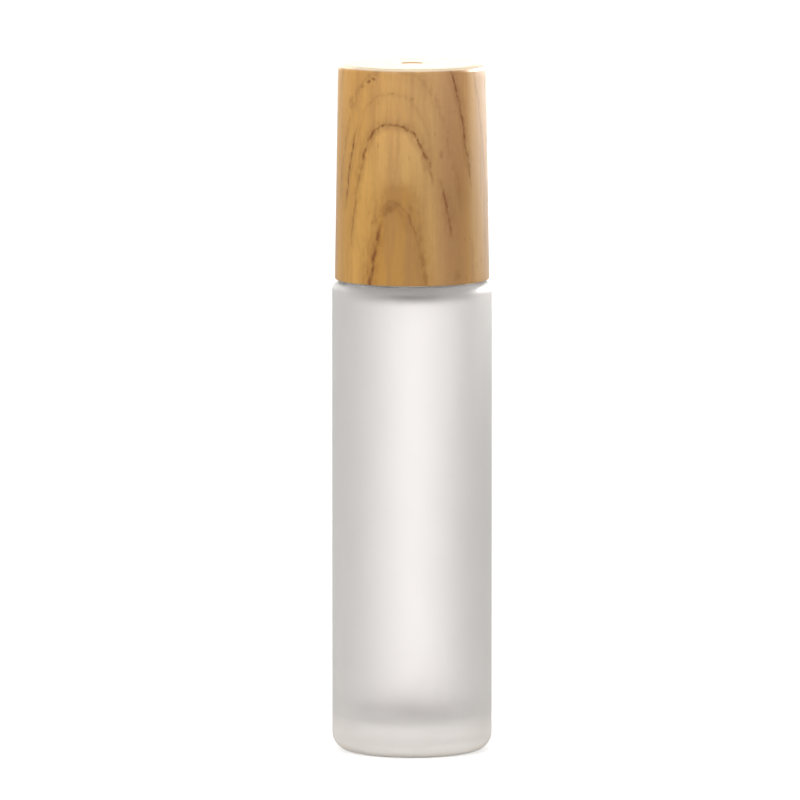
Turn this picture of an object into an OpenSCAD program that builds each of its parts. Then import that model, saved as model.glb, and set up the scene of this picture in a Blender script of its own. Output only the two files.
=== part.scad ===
// Roll-on bottle. A frosted glass bottle holds a roller ball in a plastic housing
// that is pressed into its neck, and a two-part screw cap closes over them.
// Millimetres, +Z up. The origin is the centre of the foot, where the bottle stands.
// A name that ends in gap is a clearance, and one that ends in z is a height above the foot.

/* [Bottle] */
// Outside diameter of the glass body
body_d = 16.5; // [14:0.1:22]
// Height of the flat shoulder above the foot
shoulder_z = 48.7; // [24:0.1:90]
// Thickness of the glass round the body
wall_t = 1.85; // [1.2:0.05:2]
// Thickness of the glass under the liquid
base_t = 3.0; // [2:0.1:8]
// Thickness of the glass over the liquid, at the shoulder
shoulder_t = 1.0; // [0.8:0.1:4]
// Radius of the heel, where the body meets the foot
heel_r = 1.8; // [0.6:0.1:2.6]
// Radius of the shoulder's outer edge
shoulder_r = 1.0; // [0.3:0.1:1.6]
// Radius inside, where the wall meets the base
floor_r = 3.2; // [0.6:0.1:4]
// Radius inside, where the wall meets the shoulder
ceiling_r = 0.8; // [0.4:0.1:1.8]
// Width of the flat ring that the bottle stands on, round the hollow under its base
foot_ring_w = 1.25; // [0.5:0.05:2]
// Depth of the hollow under the base
push_up_h = 0.5; // [0.2:0.05:1.2]

/* [Neck] */
// Width of the shoulder, from the body's side in to the neck
shoulder_w = 2.75; // [2.2:0.05:3]
// Height of the neck above the shoulder
neck_h = 11.6; // [10.6:0.1:16]
// Thickness of the neck's glass between its threads
neck_wall_t = 1.3; // [0.9:0.05:1.6]
// Radius of the neck's outer lip
lip_r = 0.45; // [0.2:0.05:0.6]
// Radius of the bore's mouth
mouth_r = 0.3; // [0.1:0.05:0.4]
// Radius where the neck meets the shoulder
neck_root_r = 0.7; // [0.2:0.05:0.8]

/* [Screw thread] */
// Rise of the thread in one turn
pitch = 3.0; // [2.6:0.1:3.6]
// Turns of thread, on the neck and in the liner alike
thread_turns = 1.5; // [1:0.25:2]
// Height of a thread's ridge
thread_h = 0.7; // [0.5:0.05:1]
// Width of a ridge at its crest
thread_crest_w = 0.9; // [0.5:0.05:1]
// Distance from the neck's rim down to the middle of the thread's upper end
thread_drop = 1.9; // [1.6:0.1:2.4]
// Radial gap between the neck's thread and the liner
thread_gap = 0.15; // [0.12:0.01:0.3]
// Gap between the two threads along the axis
flank_gap = 0.2; // [0.12:0.01:0.3]

/* [Roller] */
// How much smaller the ball's radius is than the bore's
ball_step = 0.4; // [0.2:0.05:0.7]
// Height of the ball's centre above the neck's rim
ball_rise = 3.2; // [3:0.1:4]
// Running gap round the ball
ball_gap = 0.05; // [0.02:0.01:0.1]
// Height of the socket's lip above the ball's centre
socket_lip_h = 1.5; // [1:0.1:1.9]
// Wall of the socket at the ball's middle
socket_wall_t = 0.75; // [0.6:0.05:1]
// Width of the socket's lip
socket_lip_t = 0.5; // [0.3:0.05:0.6]
// Wall under the ball, which carries its seat
seat_t = 0.7; // [0.5:0.05:1]
// Diameter of the feed hole under the ball
feed_d = 3.0; // [2:0.1:3.4]
// Width of the feed slots in the seat
slot_w = 0.7; // [0.4:0.05:1]
// Width of the seat that the feed slots leave whole inside the skirt
seat_w = 0.9; // [0.6:0.05:1.3]
// Number of feed slots
slot_count = 4; // [3:1:6]
// How far the housing's flange stays inside the neck's side
flange_inset = 0.2; // [0.1:0.05:0.5]
// Thickness of the flange on the rim
flange_t = 0.8; // [0.5:0.05:1.2]
// Radius of the flange's upper edge
flange_edge_r = 0.25; // [0.1:0.05:0.4]
// Length of the housing's skirt below the rim
skirt_h = 8.0; // [6:0.1:10]
// Wall of the skirt
skirt_t = 0.85; // [0.6:0.05:1]
// Bevel that leads the skirt into the bore
skirt_bevel = 0.35; // [0.1:0.05:0.5]
// Gap between the skirt and the bore
skirt_gap = 0.05; // [0.02:0.01:0.08]
// Depth to which the sealing beads press into the bore
bead_bite = 0.05; // [0.02:0.01:0.08]
// Radius of a sealing bead's section
bead_r = 0.3; // [0.2:0.05:0.4]
// Number of sealing beads
bead_count = 3; // [1:1:3]
// Distance between the sealing beads, and from the first to the rim
bead_step = 1.9; // [1.6:0.1:2]

/* [Cap] */
// Wall of the cap's shell
shell_wall_t = 0.8; // [0.6:0.05:1.2]
// Thickness of the shell's top
shell_top_t = 1.6; // [1:0.1:3]
// Slope of the shell's side, in degrees
cap_draft = 0.93; // [0:0.01:1.3]
// Radius of the shell's top edge
top_edge_r = 0.6; // [0.2:0.05:1]
// Bevel on the outside of the shell's rim
rim_bevel = 0.15; // [0.05:0.05:0.3]
// Diameter of the moulding mark at the middle of the top
gate_d = 2.4; // [1:0.1:4]
// Depth of the moulding mark
gate_depth = 0.1; // [0.05:0.05:0.4]
// Gap between the cap's rim and the glass shoulder
cap_rim_gap = 0.2; // [0.1:0.05:0.6]

/* [Liner] */
// Wall of the liner
liner_wall_t = 0.6; // [0.45:0.05:1]
// Thickness of the liner's ceiling
liner_top_t = 1.0; // [0.6:0.1:1.6]
// Height of the liner's edge above the cap's rim
liner_inset = 0.4; // [0.2:0.1:1]
// Bevel inside the liner's edge, which leads it onto the neck
liner_bevel = 0.3; // [0.1:0.05:0.5]
// Gap between the liner and the shell
liner_gap = 0.02; // [0.01:0.01:0.05]
// Gap between the liner and the neck's rim, and round the housing's flange
pass_gap = 0.3; // [0.2:0.05:0.5]
// Number of ribs between the liner and the shell
rib_count = 12; // [6:1:18]
// Width of a rib
rib_w = 0.7; // [0.4:0.05:1]

/* [Sealing pad] */
// How far the pad reaches out past the ball
pad_margin = 0.4; // [0.1:0.05:0.6]
// Thickness of the pad
pad_t = 1.2; // [0.8:0.1:2]
// Gap between the pad and the ball
pad_gap = 0.05; // [0.02:0.01:0.1]
// Gap round the pad in its ring
pad_ring_gap = 0.05; // [0.03:0.01:0.1]
// Wall of the ring round the pad
pad_ring_t = 0.5; // [0.4:0.05:0.6]
// Length of the pad's edge that stands out of its ring
pad_proud = 0.3; // [0.1:0.05:0.5]

/* [Hidden] */
$fn = 96;

// How far a cut runs past the solid that it cuts, and a joined shape into its neighbour
over = 0.2;
// Straight steps in one turn of a thread
thread_steps = 36;
// Steps over which a thread rises out of its surface at each end
thread_fade_steps = 5;
// Degrees in a turn
full_turn = 360;

// Bottle
body_r = body_d / 2;
cavity_r = body_r - wall_t;
neck_r = body_r - shoulder_w;
bore_r = neck_r - neck_wall_t;
throat_r = cavity_r - bore_r - ceiling_r;
neck_top_z = shoulder_z + neck_h;
ceiling_z = shoulder_z - shoulder_t;
push_up_r = body_r - heel_r - foot_ring_w;
push_up_sphere_r = (push_up_r * push_up_r + push_up_h * push_up_h) / (2 * push_up_h);

// Thread. The base width lets the two ridges fill one pitch between them, less their gaps.
thread_length = thread_turns * pitch;
neck_thread_z = neck_top_z - thread_drop - thread_length;
liner_thread_z = neck_thread_z - pitch / 2;
thread_overlap_share = (over + thread_gap) / (over + thread_h);
thread_base_w = (pitch - 2 * flank_gap - thread_crest_w * (1 + thread_overlap_share))
    / (1 - thread_overlap_share);

// Roller
ball_r = bore_r - ball_step;
ball_z = neck_top_z + ball_rise;
socket_r = ball_r + ball_gap;
socket_lip_z = ball_z + socket_lip_h;
socket_mouth_r = sqrt(socket_r * socket_r - socket_lip_h * socket_lip_h);
skirt_r = bore_r - skirt_gap;
skirt_bore_r = skirt_r - skirt_t;
slot_reach = skirt_bore_r - seat_w;
skirt_z = neck_top_z - skirt_h;
flange_r = neck_r - flange_inset;
flange_top_z = neck_top_z + flange_t;

// Sealing pad
pad_r = ball_r + pad_margin;
pad_z = ball_z + ball_r + pad_gap;
pad_top_z = pad_z + pad_t;

// Liner
liner_bore_r = neck_r + thread_h + thread_gap;
liner_step_z = neck_top_z + pass_gap;
liner_tube_r = flange_r + pass_gap;
liner_top_z = pad_top_z + liner_top_t;
pad_ring_r = pad_r + pad_ring_gap;
pad_ring_z = pad_z + pad_proud;

// Cap. The shell's side slopes through the radius that its walls need at the liner's step.
cap_rim_z = shoulder_z + cap_rim_gap;
liner_edge_z = cap_rim_z + liner_inset;
cap_ceiling_z = liner_top_z + liner_gap;
cap_top_z = cap_ceiling_z + shell_top_t;
cap_step_r = liner_bore_r + liner_wall_t + liner_gap + shell_wall_t;
function cap_r(z) = cap_step_r + (liner_step_z - z) * tan(cap_draft);
function shell_bore_r(z) = cap_r(z) - shell_wall_t;
function liner_r(z) = shell_bore_r(z) - liner_gap;

// What a radius r takes off an outside corner, drawn from the radius's centre.
module corner_cut(r) {
    difference() {
        square(r + over);
        circle(r);
    }
}

// What a radius r adds in an inside corner, drawn from the corner, and let into both its sides.
module corner_fill(r) {
    difference() {
        translate([-over, -over]) square(r + over);
        translate([r, r]) circle(r);
    }
}

// The four corners of a thread's ridge at angle a. Side is 1 where the ridge stands out of
// the surface of radius r, and -1 where it stands in. Grown is 0 at the ends and 1 between them.
function ridge_section(a, z, r, side, grown) =
    let (
        foot_r = r - side * over,
        crest_r = r + side * (thread_h * grown - over / 2 * (1 - grown)),
        foot_w = side * thread_base_w / 2,
        crest_w = side * thread_crest_w / 2
    )
    [for (c = [[foot_r, -foot_w], [crest_r, -crest_w], [crest_r, crest_w], [foot_r, foot_w]])
        [c[0] * cos(a), c[0] * sin(a), z + c[1]]];

// A right-hand thread on the surface of radius r, from the height z of its lower end.
module thread(z, r, side) {
    last = round(thread_turns * thread_steps);
    points = [for (i = [0:last])
        each ridge_section(
            i * full_turn / thread_steps,
            z + i * pitch / thread_steps,
            r,
            side,
            min(1, i / thread_fade_steps, (last - i) / thread_fade_steps)
        )];
    sides = [for (i = [0:last - 1], j = [0:3])
        let (a = 4 * i + j, b = 4 * i + (j + 1) % 4)
        each [[a, b, b + 4], [a, b + 4, a + 4]]];
    ends = [[2, 1, 0], [3, 2, 0], [4 * last, 4 * last + 1, 4 * last + 2],
        [4 * last, 4 * last + 2, 4 * last + 3]];
    polyhedron(points = points, faces = concat(sides, ends));
}

// Half section of the space that the liquid fills, with the neck's bore. The throat's arc
// runs straight on into the ceiling's.
module cavity_section() {
    difference() {
        translate([0, base_t]) square([cavity_r, ceiling_z - base_t]);
        translate([cavity_r - floor_r, base_t + floor_r]) mirror([0, 1]) corner_cut(floor_r);
        translate([cavity_r - ceiling_r, ceiling_z - ceiling_r]) corner_cut(ceiling_r);
    }
    translate([0, ceiling_z - over]) square([bore_r, neck_top_z - ceiling_z + 2 * over]);
    translate([bore_r, ceiling_z]) corner_fill(throat_r);
    translate([bore_r, neck_top_z]) mirror([0, 1]) corner_fill(mouth_r);
}

// Half section of the glass's outside.
module glass_section() {
    difference() {
        square([body_r, shoulder_z]);
        translate([body_r - heel_r, heel_r]) mirror([0, 1]) corner_cut(heel_r);
        translate([body_r - shoulder_r, shoulder_z - shoulder_r]) corner_cut(shoulder_r);
        translate([0, push_up_h - push_up_sphere_r]) circle(push_up_sphere_r);
    }
    difference() {
        translate([0, shoulder_z - over]) square([neck_r, neck_h + over]);
        translate([neck_r - lip_r, neck_top_z - lip_r]) corner_cut(lip_r);
    }
    translate([neck_r, shoulder_z]) corner_fill(neck_root_r);
}

// The bottle: thick foot with a hollow under it, body, shoulder, and neck with its thread.
module glass_bottle() {
    color([0.93, 0.92, 0.9, 0.6]) {
        difference() {
            union() {
                rotate_extrude() glass_section();
                thread(neck_thread_z, neck_r, 1);
            }
            rotate_extrude() cavity_section();
        }
    }
}

// Half section of the roller's housing, without its feed slots.
module housing_section() {
    difference() {
        union() {
            polygon([
                [0, skirt_z],
                [skirt_r - skirt_bevel, skirt_z],
                [skirt_r, skirt_z + skirt_bevel],
                [skirt_r, neck_top_z + over],
                [0, neck_top_z + over],
            ]);
            difference() {
                translate([0, neck_top_z]) square([flange_r, flange_t]);
                translate([flange_r - flange_edge_r, flange_top_z - flange_edge_r])
                    corner_cut(flange_edge_r);
            }
            polygon([
                [0, neck_top_z],
                [socket_r + socket_wall_t, neck_top_z],
                [socket_r + socket_wall_t, ball_z],
                [socket_mouth_r + socket_lip_t, socket_lip_z],
                [0, socket_lip_z],
            ]);
            for (i = [1:bead_count])
                translate([bore_r + bead_bite - bead_r, neck_top_z - i * bead_step]) circle(bead_r);
        }
        translate([0, ball_z]) circle(socket_r);
        difference() {
            translate([0, skirt_z - over]) square([skirt_bore_r, ball_z - skirt_z + over]);
            translate([0, ball_z]) circle(socket_r + seat_t);
        }
        translate([0, skirt_z - over]) square([feed_d / 2, ball_z - skirt_z]);
    }
}

// The housing: a skirt with sealing beads in the bore, a flange on the rim, and the ball's socket.
module roller_housing() {
    color([0.93, 0.94, 0.93]) {
        difference() {
            rotate_extrude() housing_section();
            for (i = [0:slot_count - 1])
                rotate(i * full_turn / slot_count)
                    translate([0, -slot_w / 2, ball_z - socket_r - seat_t - over])
                        cube([slot_reach, slot_w, socket_r]);
        }
    }
}

// The steel ball, in its socket.
module roller_ball() {
    color([0.75, 0.76, 0.78]) translate([0, 0, ball_z]) sphere(ball_r);
}

// The soft disc that the cap closes on the ball.
module sealing_pad() {
    color([0.9, 0.9, 0.88]) translate([0, 0, pad_z]) cylinder(r = pad_r, h = pad_t);
}

// Half section of the liner: the threaded skirt, the step over the rim, the narrower tube
// round the housing, the ceiling, and the ring that holds the pad.
module liner_section() {
    polygon([
        [liner_bore_r, liner_edge_z + liner_bevel],
        [liner_bore_r + liner_bevel, liner_edge_z],
        [liner_r(liner_edge_z), liner_edge_z],
        [liner_r(liner_step_z + liner_wall_t), liner_step_z + liner_wall_t],
        [liner_tube_r + liner_wall_t, liner_step_z + liner_wall_t],
        [liner_tube_r + liner_wall_t, liner_top_z],
        [0, liner_top_z],
        [0, pad_top_z],
        [pad_ring_r, pad_top_z],
        [pad_ring_r, pad_ring_z],
        [pad_ring_r + pad_ring_t, pad_ring_z],
        [pad_ring_r + pad_ring_t, pad_top_z],
        [liner_tube_r, pad_top_z],
        [liner_tube_r, liner_step_z],
        [liner_bore_r, liner_step_z],
    ]);
}

// The ribs between the liner's tube and the shell.
module liner_ribs() {
    intersection() {
        for (i = [0:rib_count - 1])
            rotate(i * full_turn / rib_count)
                translate([liner_tube_r + liner_wall_t / 2, -rib_w / 2, liner_step_z + liner_wall_t / 2])
                    cube([cap_step_r, rib_w, liner_top_z - liner_step_z - liner_wall_t / 2]);
        rotate_extrude()
            polygon([
                [0, liner_step_z],
                [liner_r(liner_step_z), liner_step_z],
                [liner_r(liner_top_z), liner_top_z],
                [0, liner_top_z],
            ]);
    }
}

// The liner, with its thread inside and its ribs outside.
module cap_liner() {
    color([0.95, 0.95, 0.94]) {
        rotate_extrude() liner_section();
        liner_ribs();
        thread(liner_thread_z, liner_bore_r, -1);
    }
}

// Half section of the shell, whose top edge is an arc that touches the sloping side.
module shell_section() {
    edge_z = cap_top_z - top_edge_r;
    edge_r = cap_r(edge_z) - top_edge_r / cos(cap_draft);
    difference() {
        union() {
            polygon([
                [0, cap_rim_z],
                [cap_r(cap_rim_z) - rim_bevel, cap_rim_z],
                [cap_r(cap_rim_z + rim_bevel), cap_rim_z + rim_bevel],
                [edge_r + top_edge_r * cos(cap_draft), edge_z + top_edge_r * sin(cap_draft)],
                [edge_r, edge_z],
                [edge_r, cap_top_z],
                [0, cap_top_z],
            ]);
            translate([edge_r, edge_z]) circle(top_edge_r);
        }
        polygon([
            [0, cap_rim_z - over],
            [shell_bore_r(cap_rim_z - over), cap_rim_z - over],
            [shell_bore_r(cap_ceiling_z), cap_ceiling_z],
            [0, cap_ceiling_z],
        ]);
        translate([0, cap_top_z - gate_depth]) square([gate_d / 2, gate_depth + over]);
    }
}

// The shell, printed with a wood grain.
module cap_shell() {
    color([0.76, 0.57, 0.36]) rotate_extrude() shell_section();
}

glass_bottle();
roller_housing();
roller_ball();
sealing_pad();
cap_liner();
cap_shell();
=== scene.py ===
"""The looks of a roll-on bottle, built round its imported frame.

A frosted glass bottle carries a steel ball in a plastic housing that is pressed into its neck.
A threaded liner with a foam pad, inside a shell with a printed wood grain, closes over them.
Each piece is drawn as a half section, turned, swept and cut in the place that the frame gives
it. Sizes are in millimetres and become metres when a mesh is made.
"""

import logging
import math
from collections.abc import Callable, Sequence
from dataclasses import asdict, dataclass, fields
from enum import Enum

import bmesh
import bpy
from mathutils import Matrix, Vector, noise


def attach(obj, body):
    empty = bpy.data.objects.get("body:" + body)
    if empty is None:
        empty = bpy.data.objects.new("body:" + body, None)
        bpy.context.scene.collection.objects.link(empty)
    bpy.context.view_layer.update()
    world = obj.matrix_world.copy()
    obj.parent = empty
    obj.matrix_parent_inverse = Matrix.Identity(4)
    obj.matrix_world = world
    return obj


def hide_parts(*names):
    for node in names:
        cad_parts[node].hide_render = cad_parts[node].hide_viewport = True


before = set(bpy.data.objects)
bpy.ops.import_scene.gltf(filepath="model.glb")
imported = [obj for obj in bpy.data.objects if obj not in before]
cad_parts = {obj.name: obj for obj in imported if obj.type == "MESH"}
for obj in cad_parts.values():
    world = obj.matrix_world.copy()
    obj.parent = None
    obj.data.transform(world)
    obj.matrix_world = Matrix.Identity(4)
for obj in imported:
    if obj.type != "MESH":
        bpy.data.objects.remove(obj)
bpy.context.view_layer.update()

log = logging.getLogger("roll_on_bottle")

MM = 0.001
UP = (0.0, 0.0, 1.0)
STILL = (0.0, 0.0, 0.0)
# Steps round a turned piece and round one inside it, and the longest step along a section
TURN_STEPS = 160
INNER_TURN_STEPS = 128
LONGEST_STEP = 1.0
# A rounded corner: the turn of one step, in radians, the fewest steps, and how much of
# its radius it gets, so that two roundings on one line never meet
CORNER_STEP = 0.16
FEWEST_CORNER_STEPS = 3
CORNER_SHARE = 0.999
# An edge that turns by more degrees than this stays sharp
SHARP_DEGREES = 35.0
# Vertices nearer than this are one, in metres
SAME_POINT = 2e-7
# How far a cut runs past what it cuts, and a joined shape into its neighbour
OVER = 0.2
# Nearly all of a noise texture lies between these values
NOISE_LOW, NOISE_HIGH = 0.3, 0.7
# A Mix node's sockets for colours
COLOUR_A, COLOUR_B, COLOUR_OUT = 6, 7, 2


class Combine(Enum):
    """How one solid is combined with another."""

    JOIN = "UNION"
    CUT = "DIFFERENCE"


class Ridge(Enum):
    """Which way a thread's ridge stands from its surface."""

    OUT = 1
    IN = -1


# Colours, nodes and meshes


def linear(code: str) -> tuple[float, float, float, float]:
    """Turns an sRGB hex colour into a linear one.

    Args:
        code: six hex digits, such as "C9A36B".

    Returns:
        Red, green, blue and an alpha of 1.
    """
    parts = [int(code[i : i + 2], 16) / 255 for i in (0, 2, 4)]
    red, green, blue = (
        c / 12.92 if c <= 0.04045 else ((c + 0.055) / 1.055) ** 2.4 for c in parts
    )
    return red, green, blue, 1.0


def add_node(
    tree: bpy.types.NodeTree,
    kind: str,
    inputs: dict[int | str, object] | None = None,
    out: int | str = 0,
    stops: Sequence[tuple[float, str]] = (),
    **settings: object,
) -> bpy.types.NodeSocket:
    """Adds a node with its settings and links.

    Args:
        tree: the node tree that it goes into.
        kind: Blender's name for the node's type.
        inputs: a value or another node's output for each input.
        out: the output that is wanted.
        stops: places and hex colours, for a colour ramp.
        **settings: the node's own properties.

    Returns:
        The wanted output, whose node is its ``node``.
    """
    node = tree.nodes.new(kind)
    for name, value in settings.items():
        setattr(node, name, value)
    for name, value in (inputs or {}).items():
        if isinstance(value, bpy.types.NodeSocket):
            tree.links.new(value, node.inputs[name])
        else:
            node.inputs[name].default_value = value
    for i, (place, code) in enumerate(stops):
        elements = node.color_ramp.elements
        element = elements[i] if i < len(elements) else elements.new(place)
        element.position, element.color = place, linear(code)
    return node.outputs[out] if len(node.outputs) else None


def new_material(name: str) -> tuple[bpy.types.Material, bpy.types.NodeTree]:
    """Makes an empty node material.

    Args:
        name: the finish's name.

    Returns:
        The material and its node tree.
    """
    material = bpy.data.materials.new(name)
    material.use_nodes = True
    material.node_tree.nodes.clear()
    return material, material.node_tree


def finished(
    name: str,
    bm: bmesh.types.BMesh,
    materials: Sequence[bpy.types.Material],
    sharp_degrees: float = SHARP_DEGREES,
) -> bpy.types.Object:
    """Makes a scene object of a finished mesh, smooth but for its sharp edges.

    Args:
        name: the piece's name.
        bm: the mesh, in metres, which is freed.
        materials: one for each material index.
        sharp_degrees: an edge that turns by more than this stays sharp.

    Returns:
        The object, at the origin.
    """
    mesh = bpy.data.meshes.new(name)
    bm.to_mesh(mesh)
    bm.free()
    for material in materials:
        mesh.materials.append(material)
    mesh.shade_smooth()
    mesh.set_sharp_from_angle(angle=math.radians(sharp_degrees))
    piece = bpy.data.objects.new(name, mesh)
    bpy.context.scene.collection.objects.link(piece)
    return piece


def combine(piece: bpy.types.Object, tool: bpy.types.Object, how: Combine) -> None:
    """Joins a tool to a piece, or cuts it out, and removes the tool.

    Args:
        piece: the object whose mesh is changed.
        tool: the closed solid to join or cut.
        how: join or cut.
    """
    step = piece.modifiers.new(how.name.lower(), "BOOLEAN")
    step.operation, step.solver, step.object = how.value, "EXACT", tool
    bpy.context.view_layer.update()
    made = bpy.data.meshes.new_from_object(
        piece.evaluated_get(bpy.context.evaluated_depsgraph_get())
    )
    piece.modifiers.clear()
    old, used = piece.data, tool.data
    piece.data = made
    bpy.data.objects.remove(tool)
    for mesh in (old, used):
        bpy.data.meshes.remove(mesh)


def mount(piece: bpy.types.Object, body: str, node: str) -> bpy.types.Object:
    """Sets a piece on its body, in place of the frame's own node.

    Args:
        piece: the finished piece.
        body: the body that it rides on.
        node: the node that it stands for.

    Returns:
        The piece.
    """
    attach(piece, body)
    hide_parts(node)
    low, high = piece.bound_box[0], piece.bound_box[6]
    size = " x ".join(f"{(b - a) / MM:.2f}" for a, b in zip(low, high))
    log.info("%s: %d faces, %s mm, on %s", piece.name, len(piece.data.polygons), size, body)
    return piece


class Section:
    """A half section, drawn point by point in the plane of X and Z, and turned about Z."""

    def __init__(self, r: float, z: float) -> None:
        """Starts the section.

        Args:
            r: the first point's distance from the axis.
            z: its height.
        """
        self.bm = bmesh.new()
        self.first = self.last = self.bm.verts.new((r * MM, 0.0, z * MM))
        self.rounded: list[tuple[bmesh.types.BMVert, float]] = []

    def line(self, r: float, z: float, rounding: float = 0.0) -> "Section":
        """Draws a straight line.

        Args:
            r: the next point's distance from the axis.
            z: its height.
            rounding: the radius of the corner at that point.

        Returns:
            The section itself.
        """
        point = self.bm.verts.new((r * MM, 0.0, z * MM))
        self.bm.edges.new((self.last, point))
        self.last = point
        if rounding:
            self.rounded.append((point, rounding))
        return self

    def arc(self, r: float, z: float, degrees: float, steps: int = 8) -> "Section":
        """Draws an arc from the last point.

        Args:
            r: the arc's centre, from the axis.
            z: the centre's height.
            degrees: how far it turns, from +X towards +Z.
            steps: its straight steps.

        Returns:
            The section itself.
        """
        made = bmesh.ops.spin(
            self.bm,
            geom=[self.last],
            cent=(r * MM, 0.0, z * MM),
            axis=(0.0, -1.0, 0.0),
            dvec=STILL,
            angle=math.radians(degrees),
            steps=steps,
            use_merge=False,
            use_normal_flip=False,
            use_duplicate=False,
        )
        self.last = next(g for g in made["geom_last"] if isinstance(g, bmesh.types.BMVert))
        return self

    def closed(self) -> "Section":
        """Joins the last point to the first, and returns the section itself."""
        self.bm.edges.new((self.last, self.first))
        return self

    def round_corners(self) -> None:
        """Rounds each corner that has a radius. The corners' turns are measured first."""
        tasks = []
        for point, radius in self.rounded:
            a, b = ((e.other_vert(point).co - point.co).normalized() for e in point.link_edges)
            turn = math.pi - a.angle(b)
            segments = max(FEWEST_CORNER_STEPS, round(turn / CORNER_STEP))
            tasks.append((point, radius * math.tan(turn / 2), segments))
        for point, offset, segments in tasks:
            bmesh.ops.bevel(
                self.bm,
                geom=[point],
                offset=offset * MM * CORNER_SHARE,
                offset_type="OFFSET",
                segments=segments,
                profile=0.5,
                affect="VERTICES",
                material=-1,
            )

    def turned(self, steps: int = TURN_STEPS, longest: float = LONGEST_STEP) -> bmesh.types.BMesh:
        """Rounds the corners, splits the long lines and turns the section once round.

        Args:
            steps: the steps round the axis.
            longest: the longest line that stays in one piece.

        Returns:
            The closed mesh, whose faces point outwards.
        """
        bm = self.bm
        self.round_corners()
        for edge in bm.edges[:]:
            cuts = math.ceil(edge.calc_length() / MM / longest) - 1
            if cuts > 0:
                bmesh.ops.subdivide_edges(bm, edges=[edge], cuts=cuts)
        bmesh.ops.spin(
            bm,
            geom=bm.verts[:] + bm.edges[:],
            cent=STILL,
            axis=UP,
            dvec=STILL,
            angle=math.tau,
            steps=steps,
            use_merge=True,
            use_normal_flip=False,
            use_duplicate=False,
        )
        bmesh.ops.remove_doubles(bm, verts=bm.verts, dist=SAME_POINT)
        bmesh.ops.recalc_face_normals(bm, faces=bm.faces)
        return bm


@dataclass(frozen=True)
class Thread:
    """A right-hand thread, which both the neck and the liner have.

    Its ridge rises out of its surface at one end and sinks into it at the other.
    """

    pitch: float = 3.0
    turns: float = 1.5
    height: float = 0.7
    crest_w: float = 0.9
    root_w: float = 2.21
    crest_round: float = 0.3
    fade_turns: float = 5 / 36
    steps_per_turn: int = 96

    def swept(self, surface_r: float, low_z: float, way: Ridge) -> bpy.types.Object:
        """Sweeps the ridge along its helix.

        Args:
            surface_r: the radius of the surface that it stands on.
            low_z: the height of its lower end's middle.
            way: whether it stands out of the surface or in.

        Returns:
            A closed solid that reaches a little into the surface.
        """
        side = way.value
        foot_r, crest_r = surface_r - side * OVER, surface_r + side * self.height
        section = Section(foot_r, low_z - self.root_w / 2)
        section.line(crest_r, low_z - self.crest_w / 2, self.crest_round)
        section.line(crest_r, low_z + self.crest_w / 2, self.crest_round)
        section.line(foot_r, low_z + self.root_w / 2).closed().round_corners()
        bm = section.bm
        steps = round(self.turns * self.steps_per_turn)
        bmesh.ops.spin(
            bm,
            geom=bm.verts[:] + bm.edges[:],
            cent=STILL,
            axis=UP,
            dvec=(0.0, 0.0, self.pitch * MM / self.steps_per_turn),
            angle=self.turns * math.tau,
            steps=steps,
            use_merge=False,
            use_normal_flip=False,
            use_duplicate=False,
        )
        bmesh.ops.holes_fill(bm, edges=bm.edges, sides=0)
        for point in bm.verts:
            angle = math.atan2(point.co.y, point.co.x) / math.tau
            rise = (point.co.z / MM - low_z) / self.pitch
            along = angle + round(rise - angle)
            grown = min(1.0, along / self.fade_turns, (self.turns - along) / self.fade_turns)
            r = Vector(point.co.xy).length / MM
            stands = side * (r - surface_r)
            if stands > 0 and grown < 1.0:
                sunk = surface_r + side * (stands * grown - OVER / 2 * (1 - grown))
                point.co.xy = point.co.xy * (sunk / r)
        bmesh.ops.recalc_face_normals(bm, faces=bm.faces)
        return finished("thread_ridge", bm, ())


# Finishes


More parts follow.
